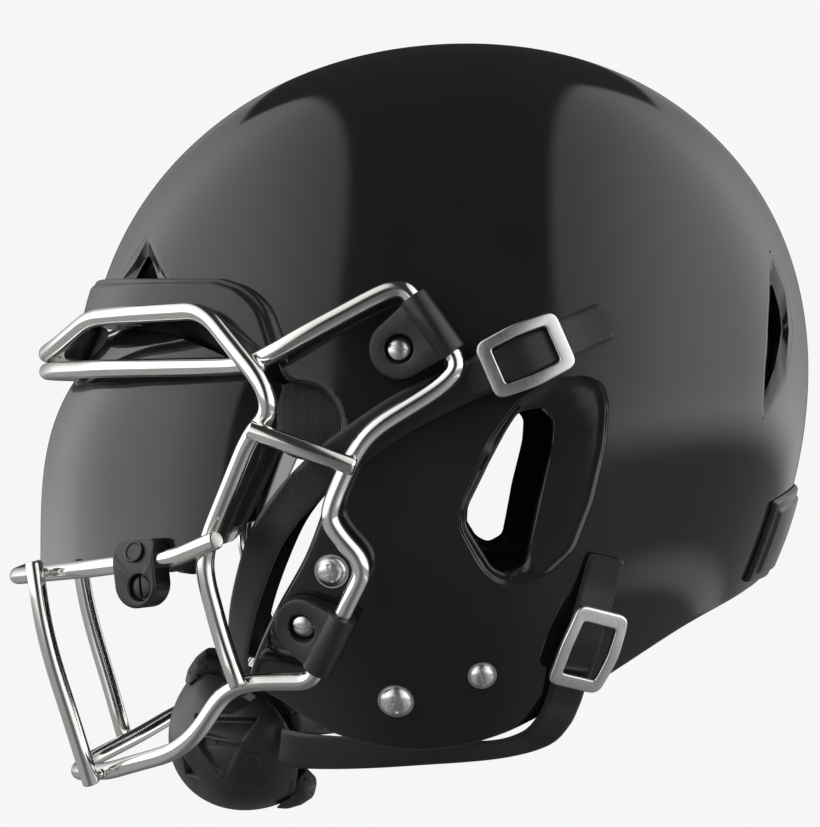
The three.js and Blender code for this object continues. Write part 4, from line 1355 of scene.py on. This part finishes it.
def make_chin_cup():
    place = cup_place()
    outer_rows, inner_rows, columns = 170, 60, 400
    outer = place.points(cup_grid(0.0, CUP["level"], outer_rows, columns))
    out = unit(np.cross(np.gradient(outer, axis=1), np.gradient(outer, axis=0)))
    flip = np.sign(((outer - place.origin) * out).sum(axis=-1, keepdims=True))
    rim_fade = smoothstep(np.linspace(1, 0, outer_rows), 0.0, 0.06)[:, None, None]
    outer = outer - out * flip * (cup_surface(outer)[..., None] * rim_fade)
    inner = place.points(cup_grid(CUP["wall"], CUP["level"], inner_rows, columns))
    deep = np.maximum(cup_surface(inner) - 1.3, 0)[..., None]
    rim_fade = smoothstep(np.linspace(1, 0, inner_rows), 0, 0.06)[:, None, None]
    inner = inner - unit(inner - place.origin) * deep * rim_fade
    edge = (outer[-1] + inner[-1]) / 2 - place.axes[2] * 0.7
    body = Body().grid(np.concatenate([outer, edge[None], inner[::-1]]), closed_columns=True)
    piece = body.mesh("chin_cup_shell", sharp=45)
    settle(piece, "chin_cup", "cup_plastic", FINISHES["cup_plastic"], "chin_cup")
    make_cup_liner(place)


def make_cup_liner(place):
    """The foam inside the cup, crowned where it shows past the rim. A thick lip wraps over the rim above
    and below: one outline (distance out, distance forward) carried across the cup and drawn in at its
    ends."""
    skin = CUP["wall"] + GAP
    outer = place.points(cup_grid(skin, CUP["level"] - 4, 40, 200))
    inner = place.points(cup_grid(skin + 5, CUP["level"] - 4, 40, 200))
    crown = [(outer[-1] * (1 - s) + inner[-1] * s) - place.axes[2] * 1.6 * math.sin(math.pi * s)
             for s in (0.12, 0.3, 0.5, 0.7, 0.88)]
    body = Body().grid(np.concatenate([outer, np.array(crown), inner[::-1]]), closed_columns=True)
    lip = rounded([
        (33.1, 5.6), (32.2, 13.0), (35.2, 9.5), (37.2, 4.0), (37.4, -1.5), (34.0, -5.5),
        (27.0, -4.5), (27.4, 2.6),
    ], 1.2)
    for sign, wide in ((1, 14.0), (-1, 15.0)):
        middle = lip.mean(axis=0)
        across = wide * np.sin(np.linspace(-1, 1, 25) * math.pi / 2)
        draw = np.maximum(1 - np.abs(across / wide) ** 8, 0) ** 0.5 * 0.5 + 0.5
        drop = CUP["rim"] * (np.sqrt(1 - (across / CUP["lateral"]) ** 2) - 1)
        rings = middle + (lip[None] - middle) * draw[:, None, None]
        spots = np.stack([np.broadcast_to(across[:, None], rings.shape[:2]),
                          sign * (rings[..., 0] + drop[:, None]), rings[..., 1]], axis=-1)
        body.tube(place.points(spots))
    piece = body.mesh("chin_cup_foam", sharp=60)
    settle(piece, "chin_cup", "cup_liner_foam", FINISHES["cup_liner_foam"], "chin_cup_liner")


# ---- Straps and buckles ----------------------------------------------------

def strap_station(y, z, height):
    point = on_dome(y, z, height)
    return point, dome_normals(point)


def buckle_stations(level):
    """The strap under its buckle: the tail, the hump over the base, and the run out of the frame."""
    (y, z), (dy, dz) = BUCKLES[level]
    hump = 3.9
    runs = [
        (-33, 1.9), (-28, 1.95), (-22, 2.4), (-14, hump), (-7, hump + 1.5), (0, hump + 2.2),
        (7, hump + 1.5), (13, hump), (19, 2.6), (24, 1.9),
    ]
    return [strap_station(y + dy * run, z + dz * run, height) for run, height in runs]


def strap_lines():
    upper = buckle_stations("upper") + [
        strap_station(-8, 6.5, 1.7), strap_station(-22, -1, 1.7), strap_station(-36, -10.5, 1.7),
        strap_station(-46, -18, 1.9), strap_station(-54, -25.5, 1.9),
        (np.array([104, -63, -35.0]), np.array([1, -0.4, 0.1])),
        (np.array([94, -72, -49.0]), np.array([1, -0.5, 0.0])),
        (np.array([74, -80.5, -73.0]), np.array([1, -0.7, 0.1])),
        (np.array([57, -84, -92.0]), np.array([1, -0.5, 0.5])),
        (np.array([46, -84, -105.0]), np.array([1, -0.3, 0.3])),
    ]
    lower = buckle_stations("lower") + [
        strap_station(36, -114, 2.8),
        (np.array([86.5, 29, -121.5]), np.array([0.6, 0, -0.8])),
        (np.array([77.4, 14, -126.8]), np.array([0.6, 0, -0.8])),
        (np.array([69, -14, -129.2]), np.array([0.75, 0, -0.66])),
        (np.array([58, -40, -130.8]), np.array([0.9, -0.1, -0.4])),
        (np.array([48.5, -58, -131.5]), np.array([1, -0.1, -0.2])),
        (np.array([43.6, -68, -130.5]), np.array([1, -0.1, 0.0])),
    ]
    return {"upper": upper, "lower": lower}


def strap_body(stations):
    """A flat strap with rounded edges and a rounded tail. Its texture runs in millimetres."""
    path = through(np.array([point for point, _ in stations]), 9)
    outs = unit(through(np.array([unit(out) for _, out in stations]), 9))
    lengths = np.concatenate([[0], np.cumsum(np.linalg.norm(np.diff(path, axis=0), axis=1))])
    half, thick = STRAP_WIDTH / 2, STRAP_THICKNESS / 2
    across = np.concatenate([np.linspace(-1, 1, 15), np.linspace(1, -1, 15)])
    edge = (1 - np.abs(across) ** 14) ** 0.5
    lift = np.where(np.arange(30) < 15, 1.0, -1.0) * (0.25 + 0.75 * edge) * thick
    section = np.column_stack([across * half, lift])
    tail = np.sqrt(np.clip(1 - (1 - np.minimum(lengths / 3.2, 1)) ** 2, 0, 1))
    width = (1 - 0.16) + 0.16 * tail
    side, up = frames_along(path, ups=outs)
    points = (path[:, None] + section[None, :, :1] * (side * width[:, None])[:, None]
              + section[None, :, 1:] * up[:, None])
    uvs = np.stack(np.broadcast_arrays(section[None, :, 0], lengths[:, None]), axis=-1)
    return Body().tube(points, uvs)


def frame_body(place):
    """A buckle frame: a plate ring with rounded edges, arched a little along its length."""
    angles = np.linspace(0, 2 * math.pi, 160, endpoint=False)
    centre = np.zeros(2)
    outside = [(-16, -10.6), (0, -12), (16, -10.6), (16, 10.6), (0, 12), (-16, 10.6)]
    window = [(-10.7, -6.9), (0, -7.5), (10.7, -6.9), (10.7, 6.9), (0, 7.5), (-10.7, 6.9)]
    outer = reach_of(rounded(outside, 4.0, 8), centre, angles)
    inner = reach_of(rounded(window, 1.4, 6), centre, angles)
    low, top, soft = 6.2, 8.4, 0.75
    turns = np.linspace(0, math.pi / 2, 6)
    rings = [ring_at(outer, angles, centre, soft * (1 - math.cos(t)), top - soft * (1 - math.sin(t)))
             for t in turns]
    rings += [ring_at(inner, angles, centre, -soft * (1 - math.sin(t)), top - soft * (1 - math.cos(t)))
              for t in turns]
    rings += [ring_at(inner, angles, centre, -0.3 * s, low + 0.3 * (1 - s)) for s in (0, 1)]
    rings += [ring_at(outer, angles, centre, 0.3 * (1 - s), low + 0.3 * s) for s in (0, 1)]
    rings = np.array(rings)
    rings[..., 2] += 0.9 - 0.9 * (rings[..., 0] / 15) ** 2 * 1.6
    return loops(Body(), place, list(rings), True)


def base_body(place):
    """The plastic base under the strap, with rounded ends."""
    angles = np.linspace(0, 2 * math.pi, 80, endpoint=False)
    centre = np.zeros(2)
    reach = reach_of(rounded([(-12, -6.5), (12, -6.5), (12, 6.5), (-12, 6.5)], 2.2, 6), centre, angles)
    rings = [ring_at(reach, angles, centre, inset, height)
             for inset, height in ((0.3, 1.6), (0, 1.9), (0, 2.7), (0.3, 3.0))]
    flat = [ring_at(np.full(80, 0.01), angles, centre, 0, height) for height in (1.6, 3.0)]
    return loops(Body(), place, [flat[0], *rings, flat[1]])


def make_straps():
    nickel, plastic = FINISHES["nickel_hardware"], FINISHES["satin_plastic"]
    for level, stations in strap_lines().items():
        (spot, along) = BUCKLES[level]
        place = dome_place(spot, along)
        straps, rings, plates = (
            dict(sided(body)) for body in (strap_body(stations), frame_body(place), base_body(place)))
        for side, sign in SIDES.items():
            strap = straps[side].mesh(f"{side}_{level}_webbing", sharp=50)
            strap.data.materials.append(FINISHES["webbing"])
            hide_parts(f"{side}_{level}_strap")
            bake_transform(strap)
            buckle = f"{side}_{level}_buckle"
            ring = rings[side].mesh(buckle + "_ring", sharp=30)
            settle(ring, buckle, "nickel_hardware", nickel, buckle + "_frame")
            plate = plates[side].mesh(buckle + "_plate")
            settle(plate, "shell", "satin_plastic", plastic, buckle + "_base")


# ---- Padding ---------------------------------------------------------------

PADS = {
    "crown_pad": ((-52, -48, 90), (52, 56, 160)),
    "front_pad": ((-66, -160, 44), (66, -70, 82)),
    "rear_pad": ((-62, 90, -46), (62, 160, 48)),
}
SIDE_PADS = {
    "side_pad": ((60, -52, 14), (130, 62, 70)),
    "jaw_pad": ((58, -54, -108), (130, -6, -26)),
    "temple_pad": ((97, -67, -18), (130, -38, 14)),
}
PAD_OUTSIDE = -SHELL_WALL - 1.2
PAD_DEPTH = 16.0


def pad_body(low, high, flat_axis, cells, most=PAD_DEPTH):
    """A padded block: a patch of the dome seen along one axis, crowned between sewn channels that divide
    it into cells, with pulled-in sides."""
    rows, columns = 61, 61
    u = np.linspace(-1, 1, rows)[:, None]
    v = np.linspace(-1, 1, columns)[None, :]
    low, high = np.array(low, float), np.array(high, float)
    middle, half = (low + high) / 2, (high - low) / 2
    square = np.sqrt(np.clip(1 - 0.5 * v ** 2 * (np.abs(u) ** 6), 0, 1))
    squeeze = np.sqrt(np.clip(1 - 0.5 * u ** 2 * (np.abs(v) ** 6), 0, 1))
    axes = [axis for axis in range(3) if axis != flat_axis]
    guess = np.zeros((rows, columns, 3))
    guess[..., axes[0]] = middle[axes[0]] + half[axes[0]] * 0.96 * u * square
    guess[..., axes[1]] = middle[axes[1]] + half[axes[1]] * 0.96 * v * squeeze
    guess[..., flat_axis] = high[flat_axis] if middle[flat_axis] > 0 else low[flat_axis]
    for _ in range(14):
        fitted = to_dome(guess, PAD_OUTSIDE)
        guess[..., flat_axis] = fitted[..., flat_axis]
    out = dome_normals(guess, PAD_OUTSIDE)
    border = np.minimum(1 - np.abs(u), 1 - np.abs(v))
    crown = np.sqrt(smoothstep(border, -0.02, 0.3))
    channel = np.ones_like(border)
    for count, axis in ((cells[0], u), (cells[1], v)):
        seams = np.linspace(-1, 1, count + 1)[1:-1]
        for seam in seams:
            channel = channel * (1 - 0.55 * np.exp(-((axis - seam) / 0.055) ** 2))
    depth = most * (0.28 + 0.72 * crown * channel)
    side_pull = 1.2 * (1 - crown)
    outer = guess - out * side_pull[..., None]
    inner = guess - out * depth[..., None]
    body = Body()
    body.grid(outer)
    body.grid(inner[:, ::-1])
    along_row, along_column = np.arange(columns - 1), np.arange(rows - 1)
    edge = np.concatenate([
        along_row, (along_column + 1) * columns - 1,
        rows * columns - 1 - along_row, (rows - 1 - along_column) * columns,
    ])
    count = rows * columns
    flipped = count + (edge // columns) * columns + (columns - 1 - edge % columns)
    quads = np.column_stack([edge, np.roll(edge, -1), np.roll(flipped, -1), flipped])
    body.faces.extend(quads.tolist())
    return body


def make_pads():
    foam = FINISHES["pad_foam"]
    layout = {"crown_pad": (2, (3, 3)), "front_pad": (1, (4, 1)), "rear_pad": (1, (3, 2))}
    for name, (low, high) in PADS.items():
        axis, cells = layout[name]
        piece = pad_body(low, high, axis, cells).mesh(f"{name}_cushion", sharp=70)
        settle(piece, "shell", "pad_foam", foam, name)
    for name, (low, high) in SIDE_PADS.items():
        cells = {"side_pad": (3, 1), "jaw_pad": (1, 2), "temple_pad": (1, 1)}[name]
        body = pad_body(low, high, 0, cells, 6.0 if name == "temple_pad" else PAD_DEPTH)
        for side, shape in sided(body):
            piece = shape.mesh(f"{side}_{name}_cushion", sharp=70)
            settle(piece, "shell", "pad_foam", foam, f"{side}_{name}")


# ---- Studio ----------------------------------------------------------------

PALE = (0.922, 0.922, 0.922, 1.0)
# The floor's height is in metres, low enough for the chin cup when it is let down.
FLOOR_HEIGHT, FLOOR_RADIUS, FLOOR_SIDES = -0.187, 1400, 96


def make_floor():
    """A wide plain disc below the helmet, in the backdrop's own tone."""
    angle = np.linspace(0, 2 * math.pi, FLOOR_SIDES, endpoint=False)
    rim = [FLOOR_RADIUS * np.cos(angle), FLOOR_RADIUS * np.sin(angle)]
    ring = np.column_stack([*rim, np.full(FLOOR_SIDES, FLOOR_HEIGHT / MM)])
    body = Body().add(ring, [list(range(FLOOR_SIDES))])
    floor = body.mesh("studio_floor", closed=False)
    made = Finish("studio_floor", PALE[:3], 1.0, Emission_Color=PALE, Emission_Strength=1.0)
    made.shader.inputs["Base Color"].default_value = (0, 0, 0, 1)
    made.shader.inputs["Specular IOR Level"].default_value = 0.0
    floor.data.materials.append(made.material)
    for ray in ("visible_glossy", "visible_diffuse", "visible_shadow"):
        setattr(floor, ray, False)


def make_world():
    """A pale backdrop, and for the light that falls on the helmet: a broad soft box on each side, which
    brightens away from the camera's axis, a dark gap between them that widens overhead behind, a low
    strip at the rear and a grey floor."""
    world = bpy.data.worlds.new("studio")
    bpy.context.scene.world = world
    world.use_nodes = True
    world.node_tree.nodes.clear()
    tree = NodeTree(world.node_tree)
    x, y, z = tree.axes(tree.node("ShaderNodeTexCoord"))
    side = y.apply("ABSOLUTE")
    reach = (y * y + z * z) ** 0.5
    above = z.ramp(-0.2, -0.05)
    beyond = (side / z.apply("MAXIMUM", 0.02) - reach * 0.55).ramp(0.24, 0.3)
    sector = (x * -0.62 - side).ramp(-0.03, 0.02)
    boxes = (y * -1).ramp(0.305, 0.355) + y.ramp(0.265, 0.315)
    back = (x * -1).ramp(0.35, 0.55) * beyond
    lit = boxes.apply("MAXIMUM", back) * (1 - sector * (1 - beyond)) * reach.ramp(0.2, 0.36)
    strip = z.ramp(-0.55, -0.5) * (1 - z.ramp(-0.48, -0.4)) * y.ramp(0.45, 0.9)
    below = (1 - z.ramp(-0.15, 0.05)) * (side.ramp(0.15, 0.6) * 0.22 + 0.1)
    rear_fade = 1 - (x * -1).ramp(0.35, 0.95) * 0.55
    light = lit * above * rear_fade * (side.ramp(0.25, 0.95) * 1.15 + 0.66) + strip * 0.8 + below + 0.03
    studio = tree.node("ShaderNodeBackground", {}, {"Color": (1.0, 0.995, 0.985, 1), "Strength": light})
    backdrop = tree.node("ShaderNodeBackground", {}, {"Color": PALE, "Strength": 1.0})
    seen = tree.node("ShaderNodeLightPath")
    both = tree.node("ShaderNodeMixShader", {}, {0: seen, 1: studio, 2: backdrop})
    tree.feed(world.node_tree.nodes.new("ShaderNodeOutputWorld"), {0: both})


def make_camera():
    """A camera square to the helmet's left side, level with its middle."""
    camera = bpy.data.objects.new("camera", bpy.data.cameras.new("camera"))
    camera.location = (0.95, -0.0174, 0.0)
    camera.rotation_euler = (math.pi / 2, 0, math.pi / 2)
    camera.data.sensor_width = 36.0
    camera.data.lens = 100.7
    camera.data.clip_start = 0.01
    bpy.context.scene.collection.objects.link(camera)
    bpy.context.scene.camera = camera


def make_lights():
    """Two broad soft lamps above the front and the back of the helmet."""
    lamps = {"front_lamp": ((0.9, -0.9, 0.9), 9.0), "rear_lamp": ((0.6, 1.0, 0.8), 6.0)}
    for name, (spot, power) in lamps.items():
        lamp = bpy.data.objects.new(name, bpy.data.lights.new(name, "AREA"))
        lamp.data.energy = power
        lamp.data.size = 0.7
        lamp.visible_glossy = False
        lamp.location = spot
        away = -np.array(spot)
        tilt = math.acos(-away[2] / np.linalg.norm(away))
        lamp.rotation_euler = (tilt, 0, math.atan2(away[1], away[0]) - math.pi / 2)
        bpy.context.scene.collection.objects.link(lamp)


make_camera()
make_world()
make_lights()
make_floor()
make_shell()
make_bumpers()
make_mask()
make_hardware()
make_visor()
make_chin_cup()
make_straps()
make_pads()
for level in BUCKLES:
    for side in SIDES:
        snap = frame["nodes"][f"{side}_{level}_snap_stud"]
        snap.data.materials.clear()
        snap.data.materials.append(FINISHES["nickel_hardware"])

bpy.context.scene.view_settings.view_transform = "Standard"
